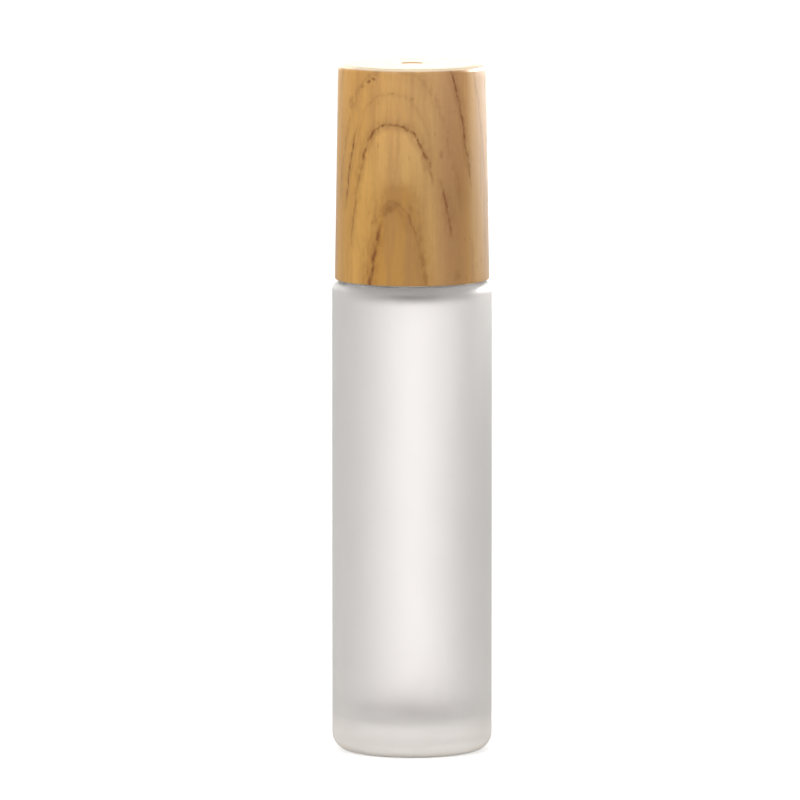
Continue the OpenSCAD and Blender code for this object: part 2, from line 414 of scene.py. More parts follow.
@dataclass(frozen=True)
class AcidFrostedGlass:
    """Soda-lime glass, blown clear and dipped in acid, which etches its outside matt.

    To the eye: a milky, even veil with no sharp reflections, bright where the light comes
    straight through the hollow and grey where it has more glass to cross. The hollow and the
    bore stay clear, because the acid doesn't reach them.
    """

    tint: str = "F5F3F3"
    veil_tint: str = "D3CFCC"
    # Painted light: the paler veil tone of the lower body and the heel
    heel_tint: str = "F3ECE4"
    depth_tint: str = "8A8680"
    # How much of the light is lost in a metre of glass
    density: float = 4.0
    ior: float = 1.52
    # The etched skin scatters more of the light where it is seen at a slant
    veil: float = 1.02
    veil_power: float = 0.5
    thickest_veil: float = 0.88
    # What changes with height: where it begins, where it is full, and how much it then is.
    # The thick foot is veiled from in front too, since its light comes from all sides. As painted
    # shade, the veil is taken off the shoulder's edge under the cap's rim, so that it shows dark
    # there, and as painted light, the veil's tone is paled slowly down the body and fully at the
    # heel.
    foot_veil: tuple[float, float, float] = (5.4, 4.2, 0.45)
    under_rim: tuple[float, float, float] = (48.5, 47.9, 1.0)
    pale_body: tuple[float, float, float] = (34.0, 6.0, 0.25)
    pale_heel: tuple[float, float, float] = (4.6, 2.4, 1.0)
    # The acid reaches what is outside these radii, and all of the foot
    body_inside_r: float = 7.3
    neck_inside_r: float = 4.75
    neck_low_z: float = 47.6
    foot_high_z: float = 2.4
    roughness: tuple[float, float] = (0.53, 0.6)
    clear_roughness: float = 0.03
    etch_mm: float = 0.11
    etch_depth: float = 0.02
    etch_strength: float = 0.25
    cloud_mm: float = 6.0

    def etched(
        self, tree: bpy.types.NodeTree, metres: bpy.types.NodeSocket
    ) -> bpy.types.NodeSocket:
        """Finds the surface that the acid has reached.

        Args:
            tree: the material's tree.
            metres: the place on the piece.

        Returns:
            1 on the outside, and 0 in the hollow and the bore.
        """
        maths = "ShaderNodeMath"
        axes = add_node(tree, "ShaderNodeSeparateXYZ", {"Vector": metres}).node.outputs
        flat = add_node(tree, "ShaderNodeCombineXYZ", {"X": axes["X"], "Y": axes["Y"]})
        r = add_node(tree, "ShaderNodeVectorMath", {0: flat}, out="Value", operation="LENGTH")
        in_neck = add_node(
            tree, maths, {0: axes["Z"], 1: self.neck_low_z * MM}, operation="GREATER_THAN"
        )
        limit = add_node(
            tree,
            "ShaderNodeMix",
            {0: in_neck, 2: self.body_inside_r * MM, 3: self.neck_inside_r * MM},
        )
        outer = add_node(tree, maths, {0: r, 1: limit}, operation="GREATER_THAN")
        foot = add_node(
            tree, maths, {0: axes["Z"], 1: self.foot_high_z * MM}, operation="LESS_THAN"
        )
        return add_node(tree, maths, {0: outer, 1: foot}, operation="MAXIMUM")

    def material(self) -> bpy.types.Material:
        """Builds the finish.

        Returns:
            Its material.
        """
        material, tree = new_material("acid_frosted_glass")
        maths, window, mix = "ShaderNodeMath", "ShaderNodeMapRange", "ShaderNodeMix"
        place = add_node(tree, "ShaderNodeTexCoord", out="Object")
        etched = self.etched(tree, place)
        cloud, etch = (
            add_node(
                tree,
                "ShaderNodeTexNoise",
                {"Vector": place, "Scale": 1 / (size * MM), "Detail": detail},
            )
            for size, detail in ((self.cloud_mm, 3.0), (self.etch_mm, 4.0))
        )
        smoothest, roughest = self.roughness
        matt = add_node(
            tree,
            window,
            {
                "Value": cloud,
                "From Min": NOISE_LOW,
                "From Max": NOISE_HIGH,
                "To Min": smoothest,
                "To Max": roughest,
            },
        )
        rough = add_node(tree, mix, {0: etched, 2: self.clear_roughness, 3: matt})
        strength = add_node(
            tree, maths, {0: etched, 1: self.etch_strength}, operation="MULTIPLY"
        )
        grit = add_node(
            tree,
            "ShaderNodeBump",
            {"Strength": strength, "Distance": self.etch_depth * MM, "Height": etch},
        )
        z = add_node(tree, "ShaderNodeSeparateXYZ", {"Vector": place}, out="Z")
        # The windows after the foot's are painted: shade at the shoulder's edge under the rim,
        # and light down the body and at the heel
        foot_veil, under_rim, pale_body, pale_heel = (
            add_node(
                tree,
                window,
                {"Value": z, "From Min": start * MM, "From Max": full * MM, "To Max": most},
            )
            for start, full, most in (
                self.foot_veil,
                self.under_rim,
                self.pale_body,
                self.pale_heel,
            )
        )
        veil = add_node(tree, "ShaderNodeLayerWeight", {"Blend": 0.5}, out="Facing")
        for value, step in (
            (self.veil_power, "POWER"),
            (self.veil, "MULTIPLY"),
            (self.thickest_veil, "MINIMUM"),
            (foot_veil, "MAXIMUM"),
            (etched, "MULTIPLY"),
            (under_rim, "MULTIPLY"),
        ):
            veil = add_node(tree, maths, {0: veil, 1: value}, operation=step)
        # Painted light: the veil's tone is paled slowly down the body and fully at the heel
        pale = add_node(tree, maths, {0: pale_heel, 1: pale_body}, operation="MAXIMUM")
        painted_veil_tone = add_node(
            tree,
            mix,
            {0: pale, COLOUR_A: linear(self.veil_tint), COLOUR_B: linear(self.heel_tint)},
            out=COLOUR_OUT,
            data_type="RGBA",
        )
        through = add_node(tree, maths, {0: 1.0, 1: veil}, operation="SUBTRACT")
        tone = add_node(
            tree,
            mix,
            {0: veil, COLOUR_A: linear(self.tint), COLOUR_B: painted_veil_tone},
            out=COLOUR_OUT,
            data_type="RGBA",
        )
        surface = add_node(
            tree,
            "ShaderNodeBsdfPrincipled",
            {
                "Base Color": tone,
                "Roughness": rough,
                "Normal": grit,
                "Transmission Weight": through,
                "IOR": self.ior,
            },
        )
        depth = add_node(
            tree,
            "ShaderNodeVolumeAbsorption",
            {"Color": linear(self.depth_tint), "Density": self.density},
        )
        add_node(tree, "ShaderNodeOutputMaterial", {"Surface": surface, "Volume": depth})
        return material


@dataclass(frozen=True)
class MouldedPlastic:
    """A moulded thermoplastic: low-gloss skin with faint flow marks and a soft glow inside.

    To the eye: milky and slightly waxy, with light bleeding through its thin edges.
    """

    name: str
    colour: str
    shade: str
    roughness: float
    glow_share: float
    glow_mm: float = 0.6
    flow_mm: float = 3.0
    flow_roughness: float = 0.06
    skin_mm: float = 0.12
    skin_depth: float = 0.01
    skin_strength: float = 0.2
    ior: float = 1.5

    def material(self) -> bpy.types.Material:
        """Builds the finish.

        Returns:
            Its material.
        """
        material, tree = new_material(self.name)
        place = add_node(tree, "ShaderNodeTexCoord", out="Object")
        flow, skin = (
            add_node(
                tree,
                "ShaderNodeTexNoise",
                {"Vector": place, "Scale": 1 / (size * MM), "Detail": detail},
            )
            for size, detail in ((self.flow_mm, 3.0), (self.skin_mm, 2.0))
        )
        tone = add_node(
            tree,
            "ShaderNodeValToRGB",
            {"Fac": flow},
            stops=((0.35, self.shade), (0.65, self.colour)),
        )
        rough = add_node(
            tree,
            "ShaderNodeMapRange",
            {
                "Value": flow,
                "To Min": self.roughness - self.flow_roughness,
                "To Max": self.roughness + self.flow_roughness,
            },
        )
        relief = add_node(
            tree,
            "ShaderNodeBump",
            {"Strength": self.skin_strength, "Distance": self.skin_depth * MM, "Height": skin},
        )
        surface = add_node(
            tree,
            "ShaderNodeBsdfPrincipled",
            {
                "Base Color": tone,
                "Roughness": rough,
                "Normal": relief,
                "Subsurface Weight": self.glow_share,
                "Subsurface Radius": (1.0, 1.0, 1.0),
                "Subsurface Scale": self.glow_mm * MM,
                "IOR": self.ior,
            },
        )
        add_node(tree, "ShaderNodeOutputMaterial", {"Surface": surface})
        return material


@dataclass(frozen=True)
class PolishedSteel:
    """Stainless steel ball, lapped and polished.

    To the eye: a clear, slightly grey mirror with a faint haze of crossed lapping lines.
    """

    colour: str = "BFC1C4"
    roughness: tuple[float, float] = (0.05, 0.16)
    # The lapping lines: their width, how many times as long they are, their turn and depth
    lap_mm: float = 0.05
    lap_length: float = 14.0
    lap_turn: tuple[float, float, float] = (0.5, 0.3, 0.2)
    lap_depth: float = 0.002
    lap_strength: float = 0.08

    def material(self) -> bpy.types.Material:
        """Builds the finish.

        Returns:
            Its material.
        """
        material, tree = new_material("polished_steel")
        place = add_node(tree, "ShaderNodeTexCoord", out="Object")
        drawn_out = add_node(
            tree,
            "ShaderNodeMapping",
            {"Vector": place, "Rotation": self.lap_turn, "Scale": (1.0, self.lap_length, 1.0)},
        )
        length = self.lap_length * self.lap_mm * MM
        lines = add_node(
            tree, "ShaderNodeTexNoise", {"Vector": drawn_out, "Scale": 1 / length, "Detail": 2.0}
        )
        smoothest, roughest = self.roughness
        rough = add_node(
            tree,
            "ShaderNodeMapRange",
            {"Value": lines, "To Min": smoothest, "To Max": roughest},
        )
        relief = add_node(
            tree,
            "ShaderNodeBump",
            {"Strength": self.lap_strength, "Distance": self.lap_depth * MM, "Height": lines},
        )
        surface = add_node(
            tree,
            "ShaderNodeBsdfPrincipled",
            {
                "Base Color": linear(self.colour),
                "Metallic": 1.0,
                "Roughness": rough,
                "Normal": relief,
            },
        )
        add_node(tree, "ShaderNodeOutputMaterial", {"Surface": surface})
        return material


@dataclass(frozen=True)
class ClosedCellFoam:
    """Expanded polyethylene sheet, die-cut.

    To the eye: soft white with fine closed cells, whose hollows are painted darker as painted
    shade.
    """

    colour: str = "F1F0EC"
    cell_colour: str = "D9D7D0"
    cell_mm: float = 0.22
    cell_depth: float = 0.05
    cell_strength: float = 0.6
    roughness: float = 0.85

    def material(self) -> bpy.types.Material:
        """Builds the finish.

        Returns:
            Its material.
        """
        material, tree = new_material("closed_cell_foam")
        place = add_node(tree, "ShaderNodeTexCoord", out="Object")
        cells = add_node(
            tree,
            "ShaderNodeTexVoronoi",
            {"Vector": place, "Scale": 1 / (self.cell_mm * MM)},
            out="Distance",
            feature="SMOOTH_F1",
        )
        # Painted shade: the hollow of each cell is painted darker
        tone = add_node(
            tree,
            "ShaderNodeValToRGB",
            {"Fac": cells},
            stops=((0.15, self.cell_colour), (0.5, self.colour)),
        )
        relief = add_node(
            tree,
            "ShaderNodeBump",
            {"Strength": self.cell_strength, "Distance": self.cell_depth * MM, "Height": cells},
        )
        surface = add_node(
            tree,
            "ShaderNodeBsdfPrincipled",
            {"Base Color": tone, "Roughness": self.roughness, "Normal": relief},
        )
        add_node(tree, "ShaderNodeOutputMaterial", {"Surface": surface})
        return material


@dataclass(frozen=True)
class GrainArch:
    """One growth line of the print: a rounded arch whose legs run down the cap.

    Lengths are in millimetres. ``left`` and ``right`` say how far its legs have spread where
    they have dropped by the print's own ``leg_drop``. Each leg has its own darkness, and the
    line shows only between ``low_z`` and ``high_z``.
    """

    apex_u: float
    apex_z: float
    left: float
    right: float
    width: float
    left_depth: float
    right_depth: float
    low_z: float = 40.0
    high_z: float = 80.0


@dataclass(frozen=True)
class GrainSpot:
    """One soft dark spot of the print, with its half width and half height in millimetres."""

    middle_u: float
    middle_z: float
    half_w: float
    half_h: float
    depth: float


def titled(name: str) -> str:
    """Turns a size's name into that of its group's input, such as "Apex U"."""
    return name.replace("_", " ").title()


def mark_group(
    name: str, kind: type, results: Sequence[str]
) -> tuple[bpy.types.NodeTree, bpy.types.NodeOutputs]:
    """Starts a node group that draws one kind of mark.

    Args:
        name: the group's name.
        kind: the mark's class, whose sizes become inputs after the place's U and Z.
        results: the names of its outputs.

    Returns:
        The group's tree and the sockets that give its inputs.
    """
    tree = bpy.data.node_groups.new(name, "ShaderNodeTree")
    names = ("U", "Z", *(titled(size.name) for size in fields(kind)))
    for way, sockets in (("INPUT", names), ("OUTPUT", results)):
        for socket in sockets:
            tree.interface.new_socket(socket, in_out=way, socket_type="NodeSocketFloat")
    return tree, tree.nodes.new("NodeGroupInput").outputs


@dataclass(frozen=True)
class WoodPrint:
    """Wood grain, printed on moulded plastic and sealed with a satin varnish.

    To the eye: honey-brown flat-sawn wood with arched growth lines, fine upright fibres and
    short dark pores under a thin, soft-edged gloss.
    """

    outer: str = "C99B5A"
    inner: str = "D6A865"
    core: str = "C18F47"
    band: str = "AE8050"
    line: str = "7A4110"
    # The bare plastic, whose colour is also painted on the top's edge as a painted highlight
    bare: str = "FBEFD6"
    # Painted light: the board is painted lighter and yellower at its left, where the key light
    # falls, darker past its middle, and paler upwards, towards the top light
    across: tuple[tuple[float, str], ...] = ((0.1, "FFF6D4"), (0.55, "E9E8EE"), (0.85, "F4F1EF"))
    across_x: tuple[float, float] = (-8.0, 8.0)
    up: tuple[tuple[float, str], ...] = ((0.4, "D9D9D6"), (0.95, "EEF1FF"))
    up_z: tuple[float, float] = (49.0, 71.0)
    # The two painted-light tones together darken the print by this much, which is given back
    tone_gain: float = 1.53
    # The varnish, whose roughness follows the fibres
    roughness: tuple[float, float] = (0.36, 0.46)
    coat: float = 0.05
    coat_roughness: float = 0.2
    ior: float = 1.38
    # The arches: the cap's mean radius, their legs' drop, half the width over which their left
    # side becomes their right, how a line fades past its end, and the halo beside it, in the
    # line's own widths and strength
    mean_r: float = 7.8
    leg_drop: float = 12.0
    crown_half_w: float = 0.6
    end_fade: tuple[float, float] = (-1.0, 1.5)
    halo: float = 3.0
    halo_depth: float = 0.4
    # This share of a spot is fully dark
    spot_heart: float = 0.2
    # The lines wander from their drawn course: how often in a millimetre, and how far
    wander_scale: float = 0.6
    wander_reach: tuple[float, float, float] = (0.7, 0.7, 1.0)
    # The front's arches give way to the back's at this many radians from the front
    sides: tuple[float, float] = (1.45, 1.7)
    # Growth lines are chains of short dashes, about 0.5 mm long, that don't quite part
    dash_mm: tuple[float, float] = (0.45, 0.9)
    dash_span: tuple[float, float] = (0.36, 0.58)
    dash_gap: float = 0.35
    # The pale wood and the core fade in over these distances inside their arches
    pale_edge: tuple[float, float] = (-0.8, 1.2)
    core_edge: tuple[float, float] = (-1.4, 1.0)
    core_share: float = 0.9
    # A browner band, about 4 mm wide, to the right of the front's arches
    band_u: float = 4.6
    band_fade: tuple[float, float] = (0.5, 3.2)
    band_share: float = 0.8
    # Bands about 1 mm wide all over, and fibres about 0.15 mm wide and 5 mm long
    bands_mm: tuple[float, float] = (1.1, 16.0)
    bands_span: tuple[float, float] = (0.45, 0.68)
    bands_share: float = 0.55
    fibre_mm: tuple[float, float] = (0.16, 5.0)
    fibre_shade: tuple[float, float] = (0.965, 1.035)
    fibre_depth: float = 0.01
    fibre_strength: float = 0.15
    # Pores are drawn about 0.2 mm wide and 1 mm long, coarser than real ones, so they show
    pore_mm: tuple[float, float] = (0.2, 1.0)
    pore_span: tuple[float, float] = (0.7, 0.8)
    pore_share: float = 0.4
    # The top's grain, its turn, and the heights between which it takes over from the side's
    top_mm: tuple[float, float] = (0.9, 14.0)
    top_turn: tuple[float, float, float] = (0.0, math.pi / 2, 0.15)
    top_z: tuple[float, float] = (70.85, 71.05)
    # The print is paled towards the bare plastic from the first height to the second, over these
    # radii at the top's edge as a painted highlight, and in the mark
    thin_z: tuple[float, float] = (70.85, 71.0)
    thin_share: float = 0.65
    edge_ring: tuple[float, float] = (7.0, 7.25)
    mark_ring: tuple[float, float] = (1.25, 1.0)
    mark_share: float = 0.4
    # The first arch bounds the pale wood, and the second the core
    front: tuple[GrainArch, ...] = (
        GrainArch(-2.2, 65.45, 4.95, 5.6, 0.34, 0.9, 0.0, 58.7),
        GrainArch(-1.2, 59.1, 3.9, 3.1, 0.9, 0.16, 0.2, 52.0),
        GrainArch(-2.2, 65.45, 4.95, 5.6, 0.34, 0.55, 0.0, 53.0, 61.0),
        GrainArch(-2.2, 65.45, 4.95, 5.5, 0.36, 0.0, 0.85, 59.8),
        GrainArch(-2.2, 65.45, 4.95, 6.6, 0.38, 0.0, 0.8, 54.0, 59.6),
        GrainArch(-2.3, 68.6, 5.5, 5.6, 0.5, 0.22, 0.16, 60.0),
        GrainArch(-2.0, 71.0, 7.4, 7.0, 0.7, 0.3, 0.26, 57.0),
        GrainArch(-2.0, 69.6, 6.1, 6.2, 0.27, 0.9, 0.0, 57.0, 64.6),
        GrainArch(-2.0, 77.8, 8.6, 7.65, 0.34, 0.2, 0.85, 59.5),
        GrainArch(-2.0, 81.5, 10.4, 9.9, 0.2, 0.3, 0.4, 50.0),
        GrainArch(-2.0, 86.0, 10.8, 11.3, 0.3, 0.35, 0.4, 44.0),
        GrainArch(-2.2, 57.3, 3.0, 2.6, 0.75, 0.4, 0.25, 54.6, 59.0),
        GrainArch(-1.2, 57.6, 3.6, 2.9, 0.55, 0.95, 0.45, 46.0, 55.2),
        GrainArch(-2.7, 57.6, 3.0, 4.6, 0.3, 0.0, 0.5, 53.0),
    )
    # Where pores run together the lines swell into spots
    spots: tuple[GrainSpot, ...] = (
        GrainSpot(-2.35, 56.85, 1.1, 0.75, 0.5),
        GrainSpot(-1.7, 57.3, 0.9, 0.6, 0.4),
        GrainSpot(-2.9, 56.5, 0.8, 0.8, 0.38),
        GrainSpot(-3.45, 56.1, 0.45, 0.5, 0.6),
        GrainSpot(-4.2, 55.3, 0.5, 0.7, 0.35),
        GrainSpot(-0.05, 56.9, 0.5, 0.5, 0.5),
        GrainSpot(-4.85, 69.75, 0.5, 0.3, 0.85),
        GrainSpot(-4.25, 70.05, 0.4, 0.28, 0.8),
        GrainSpot(-5.7, 69.35, 0.8, 0.35, 0.45),
        GrainSpot(-7.4, 67.4, 0.9, 1.2, 0.4),
        GrainSpot(-2.15, 68.7, 0.35, 0.25, 0.5),
        GrainSpot(0.0, 68.1, 0.45, 0.25, 0.35),
        GrainSpot(-0.6, 65.0, 0.45, 0.35, 0.8),
        GrainSpot(-2.3, 65.5, 0.55, 0.28, 0.6),
        GrainSpot(3.1, 62.4, 0.4, 0.8, 0.45),
        GrainSpot(2.5, 68.0, 0.35, 0.6, 0.35),
        GrainSpot(1.55, 62.1, 0.3, 0.6, 0.9),
        GrainSpot(1.85, 61.45, 0.25, 0.6, 0.6),
        GrainSpot(1.05, 52.0, 0.6, 1.4, 0.35),
        GrainSpot(-4.95, 50.0, 0.35, 1.0, 0.6),
        GrainSpot(4.3, 71.0, 0.5, 0.3, 0.6),
        GrainSpot(4.9, 49.9, 0.6, 0.8, 0.3),
    )
    back: tuple[GrainArch, ...] = (
        GrainArch(1.0, 62.4, 5.4, 5.0, 0.2, 0.7, 0.9, 50.0),
        GrainArch(0.6, 55.4, 3.2, 3.8, 0.8, 0.3, 0.3, 50.0),
        GrainArch(0.9, 66.2, 6.4, 5.8, 0.25, 0.4, 0.25),
        GrainArch(0.8, 69.4, 7.3, 6.9, 0.15, 0.7, 0.5, 54.0),
        GrainArch(1.0, 74.6, 8.8, 8.3, 0.3, 0.35, 0.8, 52.0),
        GrainArch(1.0, 80.5, 10.2, 9.9, 0.2, 0.6, 0.4),
        GrainArch(1.0, 86.0, 11.2, 10.8, 0.25, 0.3, 0.4),
        GrainArch(0.6, 53.2, 2.9, 2.5, 0.2, 0.6, 0.8),
    )

    def arch_group(self) -> bpy.types.NodeTree:
        """Builds the node group that draws one arch.

        Returns:
            A group from a place on the cap and an arch's sizes to the line's strength and to
            the distance inside the arch.
        """
        tree, given = mark_group("grain_arch", GrainArch, ("Line", "Inside"))
        maths, window = "ShaderNodeMath", "ShaderNodeMapRange"
        off = add_node(tree, maths, {0: given["U"], 1: given["Apex U"]}, operation="SUBTRACT")
        is_left = add_node(
            tree,
            window,
            {"Value": off, "From Min": self.crown_half_w, "From Max": -self.crown_half_w},
        )
        reach = add_node(tree, "ShaderNodeMix", {0: is_left, 2: given["Right"], 3: given["Left"]})
        depth = add_node(
            tree,
            "ShaderNodeMix",
            {0: is_left, 2: given["Right Depth"], 3: given["Left Depth"]},
        )
        away = add_node(tree, maths, {0: off}, operation="ABSOLUTE")
        share = add_node(tree, maths, {0: away, 1: reach}, operation="DIVIDE")
        squared = add_node(tree, maths, {0: share, 1: share}, operation="MULTIPLY")
        cubed = add_node(tree, maths, {0: squared, 1: share}, operation="MULTIPLY")
        leg = add_node(tree, maths, {0: cubed, 1: self.leg_drop}, operation="MULTIPLY")
        below = add_node(tree, maths, {0: given["Apex Z"], 1: given["Z"]}, operation="SUBTRACT")
        miss = add_node(tree, maths, {0: below, 1: leg}, operation="SUBTRACT")
        # Divided by how steep the leg is there, a miss in height is a distance from the line
        slope = add_node(tree, maths, {0: squared, 1: 3 * self.leg_drop}, operation="MULTIPLY")
        slope = add_node(tree, maths, {0: slope, 1: reach}, operation="DIVIDE")
        steep = add_node(tree, maths, {0: slope, 1: slope, 2: 1.0}, operation="MULTIPLY_ADD")
        steep = add_node(tree, maths, {0: steep}, operation="SQRT")
        inside = add_node(tree, maths, {0: miss, 1: steep}, operation="DIVIDE")
        gap = add_node(tree, maths, {0: inside}, operation="ABSOLUTE")
        line = add_node(
            tree,
            window,
            {"Value": gap, "From Max": given["Width"], "To Min": depth, "To Max": 0.0},
            interpolation_type="SMOOTHSTEP",
        )
        wide = add_node(tree, maths, {0: given["Width"], 1: self.halo}, operation="MULTIPLY")
        faint = add_node(tree, maths, {0: depth, 1: self.halo_depth}, operation="MULTIPLY")
        halo = add_node(
            tree,
            window,
            {"Value": gap, "From Max": wide, "To Min": faint, "To Max": 0.0},
            interpolation_type="SMOOTHSTEP",
        )
        line = add_node(tree, maths, {0: line, 1: halo}, operation="MAXIMUM")
        over_low = add_node(tree, maths, {0: given["Z"], 1: given["Low Z"]}, operation="SUBTRACT")
        under_high = add_node(
            tree, maths, {0: given["High Z"], 1: given["Z"]}, operation="SUBTRACT"
        )
        nearest = add_node(tree, maths, {0: over_low, 1: under_high}, operation="MINIMUM")
        start, full = self.end_fade
        shown = add_node(tree, window, {"Value": nearest, "From Min": start, "From Max": full})
        line = add_node(tree, maths, {0: line, 1: shown}, operation="MULTIPLY")
        add_node(tree, "NodeGroupOutput", {"Line": line, "Inside": inside})
        return tree

    def arches(
        self,
        tree: bpy.types.NodeTree,
        group: bpy.types.NodeTree,
        u: bpy.types.NodeSocket,
        z: bpy.types.NodeSocket,
        lines: tuple[GrainArch, ...],
    ) -> list[bpy.types.NodeSocket]:
        """Lays several arches over each other.

        Args:
            tree: the material's tree.
            group: the node group that draws one arch.
            u: the length round the cap from these arches' own middle.
            z: the height.
            lines: the arches.

        Returns:
            The strongest line at each place, and the distances inside the first two arches.
        """
        strongest: bpy.types.NodeSocket | float = 0.0
        insides = []
        for arch in lines:
            sizes = {titled(name): size for name, size in asdict(arch).items()}
            line = add_node(
                tree, "ShaderNodeGroup", {"U": u, "Z": z, **sizes}, out="Line", node_tree=group
            )
            strongest = add_node(
                tree, "ShaderNodeMath", {0: line, 1: strongest}, operation="MAXIMUM"
            )
            insides.append(line.node.outputs["Inside"])
        return [strongest, insides[0], insides[1]]

    def spot_group(self) -> bpy.types.NodeTree:
        """Builds the node group that draws one spot.

        Returns:
            A group from a place on the cap and a spot's sizes to the spot's strength.
        """
        tree, given = mark_group("grain_spot", GrainSpot, ("Spot",))
        maths = "ShaderNodeMath"
        shares = []
        for at, middle, half in (("U", "Middle U", "Half W"), ("Z", "Middle Z", "Half H")):
            off = add_node(tree, maths, {0: given[at], 1: given[middle]}, operation="SUBTRACT")
            shares.append(add_node(tree, maths, {0: off, 1: given[half]}, operation="DIVIDE"))
        flat = add_node(tree, "ShaderNodeCombineXYZ", {"X": shares[0], "Y": shares[1]})
        far = add_node(tree, "ShaderNodeVectorMath", {0: flat}, out="Value", operation="LENGTH")
        spot = add_node(
            tree,
            "ShaderNodeMapRange",
            {
                "Value": far,
                "From Min": self.spot_heart,
                "To Min": given["Depth"],
                "To Max": 0.0,
            },
            interpolation_type="SMOOTHSTEP",
        )
        add_node(tree, "NodeGroupOutput", {"Spot": spot})
        return tree

    def spotted(
        self,
        tree: bpy.types.NodeTree,
        u: bpy.types.NodeSocket,
        z: bpy.types.NodeSocket,
        lines: bpy.types.NodeSocket,
    ) -> bpy.types.NodeSocket:
        """Lays the front's spots over its lines.

        Args:
            tree: the material's tree.
            u: the length round the cap from the front.
            z: the height.
            lines: the strength of the lines.

        Returns:
            The strongest line or spot at each place.
        """
        group = self.spot_group()
        for mark in self.spots:
            sizes = {titled(name): size for name, size in asdict(mark).items()}
            spot = add_node(
                tree, "ShaderNodeGroup", {"U": u, "Z": z, **sizes}, node_tree=group
            )
            lines = add_node(tree, "ShaderNodeMath", {0: spot, 1: lines}, operation="MAXIMUM")
        return lines

    def streaks(
        self,
        tree: bpy.types.NodeTree,
        place: bpy.types.NodeSocket,
        size: tuple[float, float],
        detail: float = 2.0,
    ) -> bpy.types.NodeSocket:
        """Makes noise that is drawn out along the grain.

        Args:
            tree: the material's tree.
            place: the place in millimetres.
            size: the noise's size across the grain and along it.
            detail: how many finer layers it has.

        Returns:
            The noise, about 0.5 on average.
        """
        across, along = size
        scaled = add_node(
            tree,
            "ShaderNodeVectorMath",
            {0: place, 1: (1 / across, 1 / across, 1 / along)},
            operation="MULTIPLY",
        )
        return add_node(
            tree, "ShaderNodeTexNoise", {"Vector": scaled, "Scale": 1.0, "Detail": detail}
        )

    def wandering(
        self, tree: bpy.types.NodeTree, place: bpy.types.NodeSocket
    ) -> bpy.types.NodeSocket:
        """Shifts each place a little, so that what is drawn there wanders.

        Args:
            tree: the material's tree.
            place: the place in millimetres.

        Returns:
            The shifted place.
        """
        vectors = "ShaderNodeVectorMath"
        wander = add_node(
            tree,
            "ShaderNodeTexNoise",
            {"Vector": place, "Scale": self.wander_scale, "Detail": 5.0, "Roughness": 0.7},
            out="Color",
        )
        wander = add_node(tree, vectors, {0: wander, 1: (0.5,) * 3}, operation="SUBTRACT")
        return add_node(
            tree, vectors, {0: wander, 1: self.wander_reach, 2: place}, operation="MULTIPLY_ADD"
        )

    def growth(
        self,
        tree: bpy.types.NodeTree,
        place: bpy.types.NodeSocket,
        axes: bpy.types.NodeOutputs,
    ) -> tuple[bpy.types.NodeSocket, ...]:
        """Draws the growth lines of the front and the back.

        Args:
            tree: the material's tree.
            place: the place in millimetres.
            axes: the X, Y and Z of the wandering place.

        Returns:
            The strength of the lines, the distances inside the arch of the pale wood and the
            arch of the core, and the length round the cap from the front.
        """
        maths, window, mix = "ShaderNodeMath", "ShaderNodeMapRange", "ShaderNodeMix"
        minus_x, minus_y = (
            add_node(tree, maths, {0: axes[axis], 1: -1.0}, operation="MULTIPLY") for axis in "XY"
        )
        front_angle = add_node(tree, maths, {0: axes["X"], 1: minus_y}, operation="ARCTAN2")
        back_angle = add_node(tree, maths, {0: minus_x, 1: axes["Y"]}, operation="ARCTAN2")
        front_u, back_u = (
            add_node(tree, maths, {0: angle, 1: self.mean_r}, operation="MULTIPLY")
            for angle in (front_angle, back_angle)
        )
        group = self.arch_group()
        front = self.arches(tree, group, front_u, axes["Z"], self.front)
        front[0] = self.spotted(tree, front_u, axes["Z"], front[0])
        back = self.arches(tree, group, back_u, axes["Z"], self.back)
        turned = add_node(tree, maths, {0: front_angle}, operation="ABSOLUTE")
        start, full = self.sides
        is_back = add_node(
            tree,
            window,
            {"Value": turned, "From Min": start, "From Max": full},
            interpolation_type="SMOOTHSTEP",
        )
        lines, in_pale, in_core = (
            add_node(tree, mix, {0: is_back, 2: a, 3: b}) for a, b in zip(front, back)
        )
        start, full = self.dash_span
        dashes = add_node(
            tree,
            window,
            {
                "Value": self.streaks(tree, place, self.dash_mm, 3.0),
                "From Min": start,
                "From Max": full,
                "To Min": self.dash_gap,
            },
        )
        lines = add_node(tree, maths, {0: lines, 1: dashes}, operation="MULTIPLY")
        return lines, in_pale, in_core, front_u

    def browned(
        self,
        tree: bpy.types.NodeTree,
        wandered: bpy.types.NodeSocket,
        front_u: bpy.types.NodeSocket,
    ) -> bpy.types.NodeSocket:
        """Finds the browner bands of the board.

        Args:
            tree: the material's tree.
            wandered: the wandering place in millimetres.
            front_u: the length round the cap from the front.

        Returns:
            How brown the wood is at each place.
        """
        maths, window = "ShaderNodeMath", "ShaderNodeMapRange"
        off = add_node(tree, maths, {0: front_u, 1: self.band_u}, operation="SUBTRACT")
        off = add_node(tree, maths, {0: off}, operation="ABSOLUTE")
        start, full = self.band_fade
        in_band = add_node(
            tree,
            window,
            {
                "Value": off,
                "From Min": start,
                "From Max": full,
                "To Min": self.band_share,
                "To Max": 0.0,
            },
            interpolation_type="SMOOTHSTEP",
        )
        start, full = self.bands_span
        bands = self.streaks(tree, wandered, self.bands_mm)
        brown = add_node(tree, window, {"Value": bands, "From Min": start, "From Max": full})
        brown = add_node(tree, maths, {0: brown, 1: self.bands_share}, operation="MULTIPLY")
        return add_node(tree, maths, {0: brown, 1: in_band}, operation="MAXIMUM")

